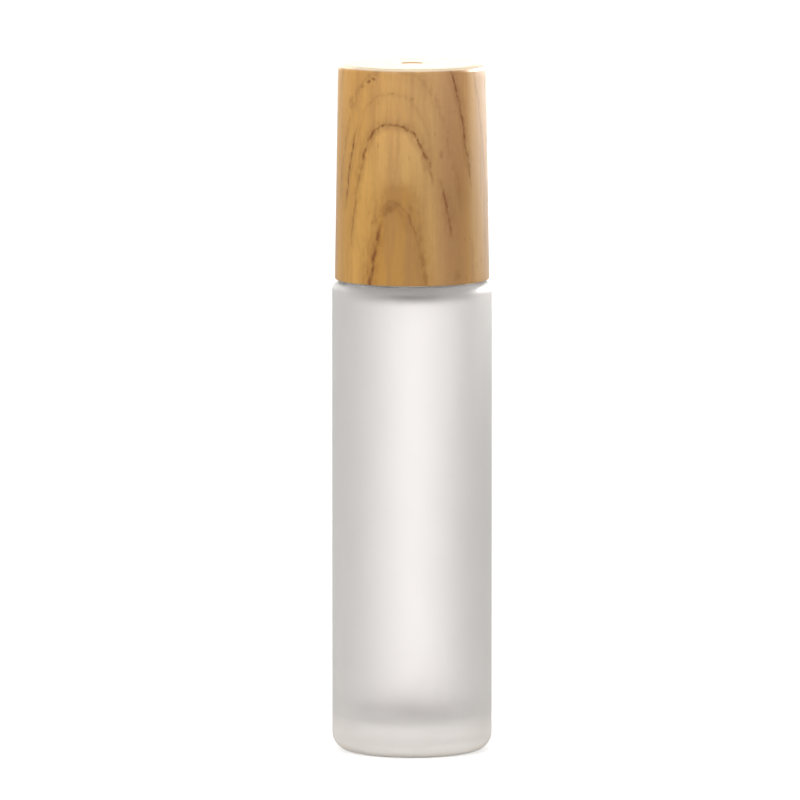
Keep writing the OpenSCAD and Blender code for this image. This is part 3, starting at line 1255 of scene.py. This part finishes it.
    def material(self) -> bpy.types.Material:
        """Builds the finish.

        Returns:
            Its material.
        """
        material, tree = new_material("printed_wood_grain")
        maths, window, mix = "ShaderNodeMath", "ShaderNodeMapRange", "ShaderNodeMix"
        vectors = "ShaderNodeVectorMath"
        metres = add_node(tree, "ShaderNodeTexCoord", out="Object")
        place = add_node(tree, vectors, {0: metres, "Scale": 1 / MM}, operation="SCALE")
        wandered = self.wandering(tree, place)
        axes = add_node(tree, "ShaderNodeSeparateXYZ", {"Vector": wandered}).node.outputs
        lines, in_pale, in_core, front_u = self.growth(tree, place, axes)
        pale, core = (
            add_node(
                tree,
                window,
                {"Value": inside, "From Min": start, "From Max": full, "To Max": most},
                interpolation_type="SMOOTHSTEP",
            )
            for inside, (start, full), most in (
                (in_pale, self.pale_edge, 1.0),
                (in_core, self.core_edge, self.core_share),
            )
        )
        brown = self.browned(tree, wandered, front_u)
        fibres = self.streaks(tree, place, self.fibre_mm)
        wood = linear(self.outer)
        for share, colour in ((pale, self.inner), (core, self.core), (brown, self.band)):
            wood = add_node(
                tree,
                mix,
                {0: share, COLOUR_A: wood, COLOUR_B: linear(colour)},
                out=COLOUR_OUT,
                data_type="RGBA",
            )
        darkest, palest = self.fibre_shade
        shade = add_node(
            tree,
            window,
            {
                "Value": fibres,
                "From Min": NOISE_LOW,
                "From Max": NOISE_HIGH,
                "To Min": darkest,
                "To Max": palest,
            },
        )
        shade = add_node(tree, maths, {0: shade, 1: self.tone_gain}, operation="MULTIPLY")
        wood = add_node(tree, vectors, {0: wood, "Scale": shade}, operation="SCALE")
        # Painted light: lighter and yellower to the left, darker past the middle, paler upwards
        for axis, (low, high), painted_tones in (
            ("X", self.across_x, self.across),
            ("Z", self.up_z, self.up),
        ):
            share = add_node(
                tree, window, {"Value": axes[axis], "From Min": low, "From Max": high}
            )
            tone = add_node(tree, "ShaderNodeValToRGB", {"Fac": share}, stops=painted_tones)
            wood = add_node(tree, vectors, {0: wood, 1: tone}, operation="MULTIPLY")
        start, full = self.pore_span
        pores = add_node(
            tree,
            window,
            {
                "Value": self.streaks(tree, place, self.pore_mm, 1.0),
                "From Min": start,
                "From Max": full,
                "To Max": self.pore_share,
            },
        )
        marks = add_node(tree, maths, {0: lines, 1: pores}, operation="MAXIMUM")
        wood = add_node(
            tree,
            mix,
            {0: marks, COLOUR_A: wood, COLOUR_B: linear(self.line)},
            out=COLOUR_OUT,
            data_type="RGBA",
        )
        smoothest, roughest = self.roughness
        rough = add_node(
            tree, window, {"Value": fibres, "To Min": smoothest, "To Max": roughest}
        )
        relief = add_node(
            tree,
            "ShaderNodeBump",
            {
                "Strength": self.fibre_strength,
                "Distance": self.fibre_depth * MM,
                "Height": fibres,
            },
        )
        # Painted highlight: the top's edge is paled towards the bare plastic
        wood = self.thinned(tree, place, self.top_grain(tree, wandered, wood))
        surface = add_node(
            tree,
            "ShaderNodeBsdfPrincipled",
            {
                "Base Color": wood,
                "Roughness": rough,
                "Normal": relief,
                "Coat Weight": self.coat,
                "Coat Roughness": self.coat_roughness,
                "IOR": self.ior,
            },
        )
        add_node(tree, "ShaderNodeOutputMaterial", {"Surface": surface})
        return material

    def top_grain(
        self,
        tree: bpy.types.NodeTree,
        place: bpy.types.NodeSocket,
        side: bpy.types.NodeSocket,
    ) -> bpy.types.NodeSocket:
        """Lays straight grain across the cap's flat top.

        Args:
            tree: the material's tree.
            place: the wandering place in millimetres.
            side: the colour of the cap's side.

        Returns:
            The colour of the side and the top together.
        """
        turned = add_node(tree, "ShaderNodeMapping", {"Vector": place, "Rotation": self.top_turn})
        grain = add_node(
            tree,
            "ShaderNodeValToRGB",
            {"Fac": self.streaks(tree, turned, self.top_mm, 4.0)},
            stops=((0.34, self.band), (0.42, self.core), (0.5, self.outer), (0.64, self.inner)),
        )
        z = add_node(tree, "ShaderNodeSeparateXYZ", {"Vector": place}, out="Z")
        low, high = self.top_z
        on_top = add_node(
            tree, "ShaderNodeMapRange", {"Value": z, "From Min": low, "From Max": high}
        )
        return add_node(
            tree,
            "ShaderNodeMix",
            {0: on_top, COLOUR_A: side, COLOUR_B: grain},
            out=COLOUR_OUT,
            data_type="RGBA",
        )

    def thinned(
        self,
        tree: bpy.types.NodeTree,
        place: bpy.types.NodeSocket,
        print_colour: bpy.types.NodeSocket,
    ) -> bpy.types.NodeSocket:
        """Pales the print towards the bare plastic on the top's edge, a painted highlight, and in
        the mark.

        Args:
            tree: the material's tree.
            place: the place in millimetres.
            print_colour: the colour of the print.

        Returns:
            The colour, paled towards the bare plastic there.
        """
        maths, vectors = "ShaderNodeMath", "ShaderNodeVectorMath"
        flat = add_node(tree, vectors, {0: place, 1: (1, 1, 0)}, operation="MULTIPLY")
        radius = add_node(tree, vectors, {0: flat}, out="Value", operation="LENGTH")
        z = add_node(tree, "ShaderNodeSeparateXYZ", {"Vector": place}, out="Z")
        over_side, highlight_at_edge, in_mark = (
            add_node(
                tree,
                "ShaderNodeMapRange",
                {"Value": value, "From Min": start, "From Max": full, "To Max": most},
            )
            for value, (start, full), most in (
                (z, self.thin_z, self.thin_share),
                (radius, self.edge_ring, 1.0),
                (radius, self.mark_ring, self.mark_share),
            )
        )
        # Painted highlight at the top's edge, and a paler mark
        where = add_node(tree, maths, {0: highlight_at_edge, 1: in_mark}, operation="MAXIMUM")
        paled = add_node(tree, maths, {0: over_side, 1: where}, operation="MULTIPLY")
        return add_node(
            tree,
            "ShaderNodeMix",
            {0: paled, COLOUR_A: print_colour, COLOUR_B: linear(self.bare)},
            out=COLOUR_OUT,
            data_type="RGBA",
        )


# The object's sub-assemblies


@dataclass
class GlassBottle:
    """The glass: thick foot with a hollow under it, body, shoulder, and threaded neck."""

    body_r: float = 8.25
    shoulder_z: float = 48.7
    wall_t: float = 1.85
    base_t: float = 3.0
    shoulder_t: float = 1.0
    heel_r: float = 1.8
    shoulder_r: float = 1.0
    floor_r: float = 3.2
    ceiling_r: float = 0.8
    foot_ring_w: float = 1.25
    push_up_h: float = 0.5
    neck_r: float = 5.5
    neck_wall_t: float = 1.3
    neck_h: float = 11.6
    lip_r: float = 0.45
    mouth_r: float = 0.3
    neck_root_r: float = 0.7
    thread_z: float = 53.9
    sharp_degrees: float = 40.0

    @property
    def cavity_r(self) -> float:
        """Radius of the hollow."""
        return self.body_r - self.wall_t

    @property
    def bore_r(self) -> float:
        """Radius of the neck's bore."""
        return self.neck_r - self.neck_wall_t

    @property
    def neck_top_z(self) -> float:
        """Height of the neck's rim."""
        return self.shoulder_z + self.neck_h

    def section(self) -> Section:
        """Draws the half section, from the middle of the foot up and back down the inside.

        Returns:
            The section, open at the axis.
        """
        ceiling_z = self.shoulder_z - self.shoulder_t
        push_up_r = self.body_r - self.heel_r - self.foot_ring_w
        dome_r = (push_up_r**2 + self.push_up_h**2) / (2 * self.push_up_h)
        dome_degrees = math.degrees(math.asin(push_up_r / dome_r))
        throat_r = self.cavity_r - self.bore_r - self.ceiling_r
        return (
            Section(0.0, self.push_up_h)
            .arc(0.0, self.push_up_h - dome_r, -dome_degrees)
            .line(self.body_r, 0.0, self.heel_r)
            .line(self.body_r, self.shoulder_z, self.shoulder_r)
            .line(self.neck_r, self.shoulder_z, self.neck_root_r)
            .line(self.neck_r, self.neck_top_z, self.lip_r)
            .line(self.bore_r, self.neck_top_z, self.mouth_r)
            .line(self.bore_r, ceiling_z, throat_r)
            .line(self.cavity_r, ceiling_z, self.ceiling_r)
            .line(self.cavity_r, self.base_t, self.floor_r)
            .line(0.0, self.base_t)
        )

    def build(self) -> bpy.types.Object:
        """Turns the glass and joins its thread.

        Returns:
            The dressed bottle.
        """
        glass = AcidFrostedGlass().material()
        piece = finished("frosted_bottle", self.section().turned(), (glass,))
        ridge = Thread().swept(self.neck_r, self.thread_z, Ridge.OUT)
        combine(piece, ridge, Combine.JOIN)
        piece.data.set_sharp_from_angle(angle=math.radians(self.sharp_degrees))
        return mount(piece, "bottle", "glass_bottle")


@dataclass
class Roller:
    """The plastic housing in the neck and the steel ball in its socket."""

    neck_top_z: float = 60.3
    ball_z: float = 63.5
    ball_r: float = 3.8
    ball_gap: float = 0.05
    lip_h: float = 1.5
    lip_t: float = 0.5
    socket_wall_t: float = 0.75
    seat_t: float = 0.7
    feed_r: float = 1.5
    slot_w: float = 0.7
    slot_reach: float = 2.4
    slot_count: int = 4
    flange_r: float = 5.3
    flange_t: float = 0.8
    flange_edge_r: float = 0.25
    skirt_r: float = 4.15
    skirt_t: float = 0.85
    skirt_h: float = 8.0
    skirt_bevel: float = 0.35
    bead_r: float = 0.3
    bead_centre_r: float = 3.95
    bead_count: int = 3
    bead_step: float = 1.9
    # Roundings of its corners, and how finely it is drawn
    skirt_edge_r: float = 0.2
    flange_under_r: float = 0.08
    socket_foot_r: float = 0.2
    socket_top_r: float = 1.2
    lip_edge_r: float = 0.15
    socket_steps: int = 28
    longest_step: float = 0.8
    ball_subdivisions: int = 6

    def section(self) -> Section:
        """Draws the housing's half section, up its outside and down through the socket.

        Returns:
            The closed section.
        """
        socket_r = self.ball_r + self.ball_gap
        mouth_r = math.sqrt(socket_r**2 - self.lip_h**2)
        skirt_z, bore_r = self.neck_top_z - self.skirt_h, self.skirt_r - self.skirt_t
        flange_z, lip_z = self.neck_top_z + self.flange_t, self.ball_z + self.lip_h
        bead_half = math.sqrt(self.bead_r**2 - (self.skirt_r - self.bead_centre_r) ** 2)
        bead_degrees = 2 * math.degrees(math.asin(bead_half / self.bead_r))
        drawn = Section(bore_r, skirt_z)
        drawn.line(self.skirt_r - self.skirt_bevel, skirt_z)
        drawn.line(self.skirt_r, skirt_z + self.skirt_bevel, self.skirt_edge_r)
        for i in range(self.bead_count, 0, -1):
            bead_z = self.neck_top_z - i * self.bead_step
            drawn.line(self.skirt_r, bead_z - bead_half)
            drawn.arc(self.bead_centre_r, bead_z, bead_degrees)
        drawn.line(self.skirt_r, self.neck_top_z)
        drawn.line(self.flange_r, self.neck_top_z, self.flange_under_r)
        drawn.line(self.flange_r, flange_z, self.flange_edge_r)
        drawn.line(socket_r + self.socket_wall_t, flange_z, self.socket_foot_r)
        drawn.line(socket_r + self.socket_wall_t, self.ball_z, self.socket_top_r)
        drawn.line(mouth_r + self.lip_t, lip_z, self.lip_edge_r)
        drawn.line(mouth_r, lip_z)
        lip_angle = math.degrees(math.atan2(self.lip_h, mouth_r))
        feed_angle = math.degrees(math.acos(self.feed_r / socket_r))
        drawn.arc(0.0, self.ball_z, -lip_angle - feed_angle, self.socket_steps)
        under_r = socket_r + self.seat_t
        drawn.line(self.feed_r, self.ball_z - math.sqrt(under_r**2 - self.feed_r**2))
        swing = math.acos(self.feed_r / under_r) - math.acos(bore_r / under_r)
        return drawn.arc(0.0, self.ball_z, math.degrees(swing)).closed()

    def slots(self) -> bpy.types.Object:
        """Makes the cutter for the feed slots, a ring of bars.

        Returns:
            The cutter.
        """
        bm = bmesh.new()
        bar = bmesh.ops.create_cube(bm, size=1.0)["verts"]
        low_z = self.ball_z - self.ball_r - self.ball_gap - self.seat_t - OVER
        reach = self.slot_reach - self.feed_r / 2
        size = Vector((reach, self.slot_w, self.ball_r))
        bmesh.ops.scale(bm, verts=bar, vec=size * MM)
        middle = Vector((self.feed_r / 2 + reach / 2, 0.0, low_z + self.ball_r / 2))
        bmesh.ops.translate(bm, verts=bar, vec=middle * MM)
        repeat_round(bm, self.slot_count)
        return finished("feed_slots", bm, ())

    def build(self) -> None:
        """Builds the housing with its slots, and the ball."""
        natural = MouldedPlastic(
            "natural_polyethylene", "EEEFEC", "E4E5E1", roughness=0.38, glow_share=0.35
        )
        bm = self.section().turned(INNER_TURN_STEPS, self.longest_step)
        housing = finished("ball_housing", bm, (natural.material(),))
        combine(housing, self.slots(), Combine.CUT)
        housing.data.set_sharp_from_angle(angle=math.radians(SHARP_DEGREES))
        mount(housing, "bottle", "roller_housing")
        bm = bmesh.new()
        bmesh.ops.create_icosphere(
            bm, subdivisions=self.ball_subdivisions, radius=self.ball_r * MM
        )
        bmesh.ops.translate(bm, verts=bm.verts, vec=(0.0, 0.0, self.ball_z * MM))
        mount(finished("steel_ball", bm, (PolishedSteel().material(),)), "ball", "roller_ball")


def repeat_round(bm: bmesh.types.BMesh, count: int) -> None:
    """Repeats a mesh evenly round the Z axis.

    Args:
        bm: the mesh, which holds one copy.
        count: how many copies it ends with.
    """
    bmesh.ops.spin(
        bm,
        geom=bm.verts[:] + bm.edges[:] + bm.faces[:],
        cent=STILL,
        axis=UP,
        dvec=STILL,
        angle=math.tau * (count - 1) / count,
        steps=count - 1,
        use_merge=False,
        use_normal_flip=False,
        use_duplicate=True,
    )


@dataclass
class Cap:
    """The shell with the printed grain, and the threaded liner inside it."""

    rim_z: float = 48.9
    top_z: float = 71.17
    ceiling_z: float = 69.57
    wall_t: float = 0.8
    step_r: float = 7.77
    step_z: float = 60.6
    draft: float = 0.93
    top_edge_r: float = 0.6
    rim_bevel: float = 0.15
    gate_r: float = 1.2
    gate_depth: float = 0.1
    gate_slope: float = 0.15
    liner_gap: float = 0.02
    liner_edge_z: float = 49.3
    liner_bore_r: float = 6.35
    liner_wall_t: float = 0.6
    liner_bevel: float = 0.3
    tube_r: float = 5.6
    liner_top_z: float = 69.55
    pad_top_z: float = 68.55
    ring_r: float = 4.25
    ring_t: float = 0.5
    ring_z: float = 67.65
    rib_count: int = 12
    rib_w: float = 0.7
    # The ribs stop this far below the liner's top, and the print this far above the rim
    rib_end: float = 0.05
    print_end: float = 0.03
    thread_z: float = 52.4
    # Roundings of the small corners, from the crispest to the roundest
    crisp_r: float = 0.05
    mark_edge_r: float = 0.06
    rim_edge_r: float = 0.08
    edge_r: float = 0.1
    thin_edge_r: float = 0.12
    root_r: float = 0.15
    lead_in_r: float = 0.2
    liner_longest_step: float = 1.2

    def outer_r(self, z: float) -> float:
        """Radius of the shell's sloping side at a height.

        Args:
            z: the height.

        Returns:
            The radius.
        """
        return self.step_r + (self.step_z - z) * math.tan(math.radians(self.draft))

    def liner_r(self, z: float) -> float:
        """Radius of the liner's outside, which follows the shell's bore.

        Args:
            z: the height.

        Returns:
            The radius.
        """
        return self.outer_r(z) - self.wall_t - self.liner_gap

    def shell(self) -> bpy.types.Object:
        """Turns the shell, with print outside and bare plastic inside.

        Returns:
            The dressed shell.
        """
        bore_rim_r = self.outer_r(self.rim_z) - self.wall_t
        bore_top_r = self.outer_r(self.ceiling_z) - self.wall_t
        drawn = (
            Section(0.0, self.top_z - self.gate_depth)
            .line(self.gate_r - self.gate_slope, self.top_z - self.gate_depth, self.crisp_r)
            .line(self.gate_r, self.top_z, self.mark_edge_r)
            .line(self.outer_r(self.top_z), self.top_z, self.top_edge_r)
            .line(self.outer_r(self.rim_z), self.rim_z, self.rim_bevel)
            .line(bore_rim_r, self.rim_z, self.rim_edge_r)
            .line(bore_top_r, self.ceiling_z)
            .line(0.0, self.ceiling_z)
        )
        bm = drawn.turned()
        printed_z = self.rim_z + self.print_end
        for face in bm.faces:
            middle = face.calc_center_median() / MM
            wall = self.outer_r(middle.z) - self.wall_t / 2
            bare = middle.xy.length < wall and middle.z < self.top_z - self.gate_depth - OVER
            face.material_index = int(bare or middle.z < printed_z)
        bare_plastic = MouldedPlastic(
            "bare_shell_plastic", "EBDCC2", "E2D0B2", roughness=0.4, glow_share=0.1
        )
        finishes = (WoodPrint().material(), bare_plastic.material())
        return mount(finished("wood_print_shell", bm, finishes), "cap", "cap_shell")

    def liner(self) -> bpy.types.Object:
        """Turns the liner and joins its ribs and its thread.

        Returns:
            The dressed liner.
        """
        step_top_z = self.step_z + self.liner_wall_t
        tube_out_r = self.tube_r + self.liner_wall_t
        drawn = (
            Section(0.0, self.pad_top_z)
            .line(self.ring_r, self.pad_top_z, self.crisp_r)
            .line(self.ring_r, self.ring_z, self.rim_edge_r)
            .line(self.ring_r + self.ring_t, self.ring_z, self.root_r)
            .line(self.ring_r + self.ring_t, self.pad_top_z, self.thin_edge_r)
            .line(self.tube_r, self.pad_top_z, self.root_r)
            .line(self.tube_r, self.step_z, self.edge_r)
            .line(self.liner_bore_r, self.step_z, self.root_r)
            .line(self.liner_bore_r, self.liner_edge_z + self.liner_bevel, self.lead_in_r)
            .line(self.liner_bore_r + self.liner_bevel, self.liner_edge_z, self.crisp_r)
            .line(self.liner_r(self.liner_edge_z), self.liner_edge_z, self.edge_r)
            .line(self.liner_r(step_top_z), step_top_z, self.edge_r)
            .line(tube_out_r, step_top_z, self.root_r)
            .line(tube_out_r, self.liner_top_z, self.thin_edge_r)
            .line(0.0, self.liner_top_z)
        )
        white = MouldedPlastic(
            "white_polypropylene", "F4F3EF", "EAE9E4", roughness=0.32, glow_share=0.2
        )
        bm = drawn.turned(INNER_TURN_STEPS, self.liner_longest_step)
        piece = finished("threaded_liner", bm, (white.material(),))
        combine(piece, self.ribs(), Combine.JOIN)
        ridge = Thread().swept(self.liner_bore_r, self.thread_z, Ridge.IN)
        combine(piece, ridge, Combine.JOIN)
        piece.data.set_sharp_from_angle(angle=math.radians(SHARP_DEGREES))
        return mount(piece, "cap", "cap_liner")

    def ribs(self) -> bpy.types.Object:
        """Makes the ribs that centre the liner in the shell.

        Returns:
            The ribs, as one object.
        """
        bm = bmesh.new()
        rib = bmesh.ops.create_cube(bm, size=1.0)["verts"]
        low_z, inner_r = self.step_z + self.liner_wall_t / 2, self.tube_r + self.liner_wall_t / 2
        for point in rib:
            z = self.liner_top_z - self.rib_end if point.co.z > 0 else low_z
            r = self.liner_r(z) if point.co.x > 0 else inner_r
            point.co = Vector((r, point.co.y * self.rib_w, z)) * MM
        repeat_round(bm, self.rib_count)
        return finished("liner_ribs", bm, ())

    def build(self) -> None:
        """Builds the shell and the liner."""
        self.shell()
        self.liner()


@dataclass
class SealingPad:
    """The foam disc in the liner's ceiling, with a shallow mark from the ball."""

    r: float = 4.2
    low_z: float = 67.35
    top_z: float = 68.55
    edge_r: float = 0.22
    mark_r: float = 1.7
    mark_depth: float = 0.06
    cell_relief: float = 0.012
    cell_mm: float = 0.35
    # Its steps are fine enough to carry the cells, whose edges stay soft
    longest_step: float = 0.12
    sharp_degrees: float = 60.0

    def build(self) -> bpy.types.Object:
        """Turns the disc, presses the ball's mark and roughens its cut faces.

        Returns:
            The dressed pad.
        """
        drawn = (
            Section(0.0, self.low_z)
            .line(self.r, self.low_z, self.edge_r)
            .line(self.r, self.top_z, self.edge_r / 2)
            .line(0.0, self.top_z)
        )
        bm = drawn.turned(INNER_TURN_STEPS, self.longest_step)
        bm.normal_update()
        for point in bm.verts:
            r = point.co.xy.length / MM
            faces_down = point.normal.z < -0.5
            if faces_down and r < self.mark_r:
                point.co.z += self.mark_depth * MM * (1 - (r / self.mark_r) ** 2) ** 2
            cell = noise.noise(point.co / (self.cell_mm * MM))
            point.co -= point.normal * (abs(cell) * self.cell_relief * MM)
        piece = finished("foam_pad", bm, (ClosedCellFoam().material(),), self.sharp_degrees)
        mount(piece, "seal", "sealing_pad")
        return piece


# The studio


@dataclass(frozen=True)
class SoftBox:
    """A soft studio lamp. Places and sizes are in metres and its power is in watts."""

    name: str
    place: tuple[float, float, float]
    width: float
    height: float
    power: float
    colour: str = "FFFFFF"
    # A flagged lamp is kept off the glass, which would carry its light inside
    flagged: bool = False
    gloss_only: bool = False
    # A snoot narrows the beam to this many degrees, and lifts it off the glass
    spread: float = 180.0
    lift: float = 0.0

    def build(self, aim: Vector) -> None:
        """Sets the lamp up.

        Args:
            aim: the point that it faces.
        """
        data = bpy.data.lights.new(self.name, "AREA")
        data.shape, data.size, data.size_y = "RECTANGLE", self.width, self.height
        data.energy, data.color = self.power, linear(self.colour)[:3]
        data.spread = math.radians(self.spread)
        lamp = bpy.data.objects.new(self.name, data)
        lamp.location = self.place
        beam = aim + Vector(UP) * self.lift - Vector(self.place)
        lamp.rotation_euler = beam.to_track_quat("-Z", "Y").to_euler()
        lamp.visible_camera = False
        lamp.visible_transmission = not self.flagged
        lamp.visible_diffuse = not self.gloss_only
        bpy.context.scene.collection.objects.link(lamp)


@dataclass
class Studio:
    """The camera at the photograph's angle, the pale floor, the white surround and the lamps."""

    aim: tuple[float, float, float] = (-0.00124, 0.0, 0.0363)
    elevation: float = 6.7
    distance: float = 1.2
    view_w: float = 0.0825
    sensor_mm: float = 36.0
    clip: tuple[float, float] = (0.05, 20.0)
    floor_size: float = 6.0
    floor_colour: str = "F2F2F0"
    mottle_mm: float = 2.0
    mottle_depth: float = 0.05
    mottle_strength: float = 0.05
    # What the floor adds to its own colour as the camera, glass and gloss see it
    seen_glow: float = 0.5
    through_glow: float = 0.47
    mirrored_glow: float = 0.05
    surround: float = 0.55
    lamps: tuple[SoftBox, ...] = (
        SoftBox("key_box", (-0.75, -0.95, 0.75), 0.8, 0.8, 5.5),
        SoftBox("fill_box", (0.9, -0.9, 0.4), 0.7, 0.9, 2.9),
        SoftBox("top_box", (0.05, 0.1, 1.1), 0.8, 0.8, 4.0),
        SoftBox(
            "rim_box",
            (0.75, 0.8, 0.35),
            0.1,
            0.04,
            0.121,
            "FFFAF4",
            flagged=True,
            gloss_only=True,
            spread=4.0,
            lift=0.044,
        ),
        SoftBox(
            "back_box", (0.0, 1.1, 0.22), 1.3, 0.4, 7.5, "FFFFFA", flagged=True, gloss_only=True
        ),
        SoftBox(
            "edge_box", (-0.65, 0.85, 0.6), 0.5, 0.5, 5.0, "FFFFFA", flagged=True, gloss_only=True
        ),
    )

    def background_rays(self, tree: bpy.types.NodeTree) -> bpy.types.NodeSocket:
        """Finds the rays that show the background.

        Args:
            tree: the tree that asks.

        Returns:
            1 for camera, glossy and transmission rays, and 0 for the rest.
        """
        rays = add_node(tree, "ShaderNodeLightPath").node.outputs
        seen = add_node(
            tree,
            "ShaderNodeMath",
            {0: rays["Is Camera Ray"], 1: rays["Is Glossy Ray"]},
            operation="MAXIMUM",
        )
        return add_node(
            tree,
            "ShaderNodeMath",
            {0: seen, 1: rays["Is Transmission Ray"]},
            operation="MAXIMUM",
        )

    def build_camera(self) -> None:
        """Sets the camera at the photograph's distance and height."""
        data = bpy.data.cameras.new("camera")
        data.sensor_width = self.sensor_mm
        data.lens = self.sensor_mm * self.distance / self.view_w
        data.clip_start, data.clip_end = self.clip
        camera = bpy.data.objects.new("camera", data)
        tilt = math.radians(self.elevation)
        back = Vector((0.0, -math.cos(tilt), math.sin(tilt)))
        camera.location = Vector(self.aim) + back * self.distance
        camera.rotation_euler = (-back).to_track_quat("-Z", "Y").to_euler()
        bpy.context.scene.collection.objects.link(camera)
        bpy.context.scene.camera = camera

    def build_floor(self) -> None:
        """Lays a pale floor that reads as white and keeps the object's shadow."""
        bm = bmesh.new()
        bmesh.ops.create_grid(bm, x_segments=2, y_segments=2, size=self.floor_size / 2)
        material, tree = new_material("matt_paper")
        place = add_node(tree, "ShaderNodeTexCoord", out="Object")
        mottle = add_node(
            tree,
            "ShaderNodeTexNoise",
            {"Vector": place, "Scale": 1 / (self.mottle_mm * MM), "Detail": 3.0},
        )
        relief = add_node(
            tree,
            "ShaderNodeBump",
            {
                "Strength": self.mottle_strength,
                "Distance": self.mottle_depth * MM,
                "Height": mottle,
            },
        )
        paper = add_node(
            tree,
            "ShaderNodeBsdfDiffuse",
            {"Color": linear(self.floor_colour), "Normal": relief},
        )
        rays = add_node(tree, "ShaderNodeLightPath").node.outputs
        glow: bpy.types.NodeSocket | float = 0.0
        for kind, strength in (
            ("Is Glossy Ray", self.mirrored_glow),
            ("Is Transmission Ray", self.through_glow),
            ("Is Camera Ray", self.seen_glow),
        ):
            glow = add_node(tree, "ShaderNodeMix", {0: rays[kind], 2: glow, 3: strength})
        light = add_node(tree, "ShaderNodeEmission", {"Strength": glow})
        both = add_node(tree, "ShaderNodeAddShader", {0: paper, 1: light})
        add_node(tree, "ShaderNodeOutputMaterial", {"Surface": both})
        material.cycles.emission_sampling = "NONE"
        floor = finished("floor", bm, (material,))

    def build_surround(self) -> None:
        """Makes the world: white where it is seen, and a plain soft light elsewhere."""
        world = bpy.data.worlds.new("white_surround")
        world.use_nodes = True
        tree = world.node_tree
        tree.nodes.clear()
        strength = add_node(
            tree,
            "ShaderNodeMix",
            {0: self.background_rays(tree), 2: self.surround, 3: 1.0},
        )
        sky = add_node(tree, "ShaderNodeBackground", {"Strength": strength})
        add_node(tree, "ShaderNodeOutputWorld", {"Surface": sky})
        world.cycles.sampling_method = "NONE"
        bpy.context.scene.world = world

    def build(self) -> None:
        """Sets up the camera, the floor, the surround and the lamps."""
        self.build_camera()
        self.build_floor()
        self.build_surround()
        for lamp in self.lamps:
            lamp.build(Vector(self.aim))
        bpy.context.scene.view_settings.view_transform = "Standard"


def main() -> None:
    """Builds the studio and each sub-assembly in order."""
    logging.basicConfig(level=logging.INFO, format="%(name)s: %(message)s")
    steps: tuple[tuple[str, Callable[[], object]], ...] = (
        ("studio", Studio().build),
        ("glass bottle", GlassBottle().build),
        ("roller", Roller().build),
        ("cap", Cap().build),
        ("sealing pad", SealingPad().build),
    )
    for name, build in steps:
        build()
        log.info("%s done", name)


if __name__ == "__main__":
    main()
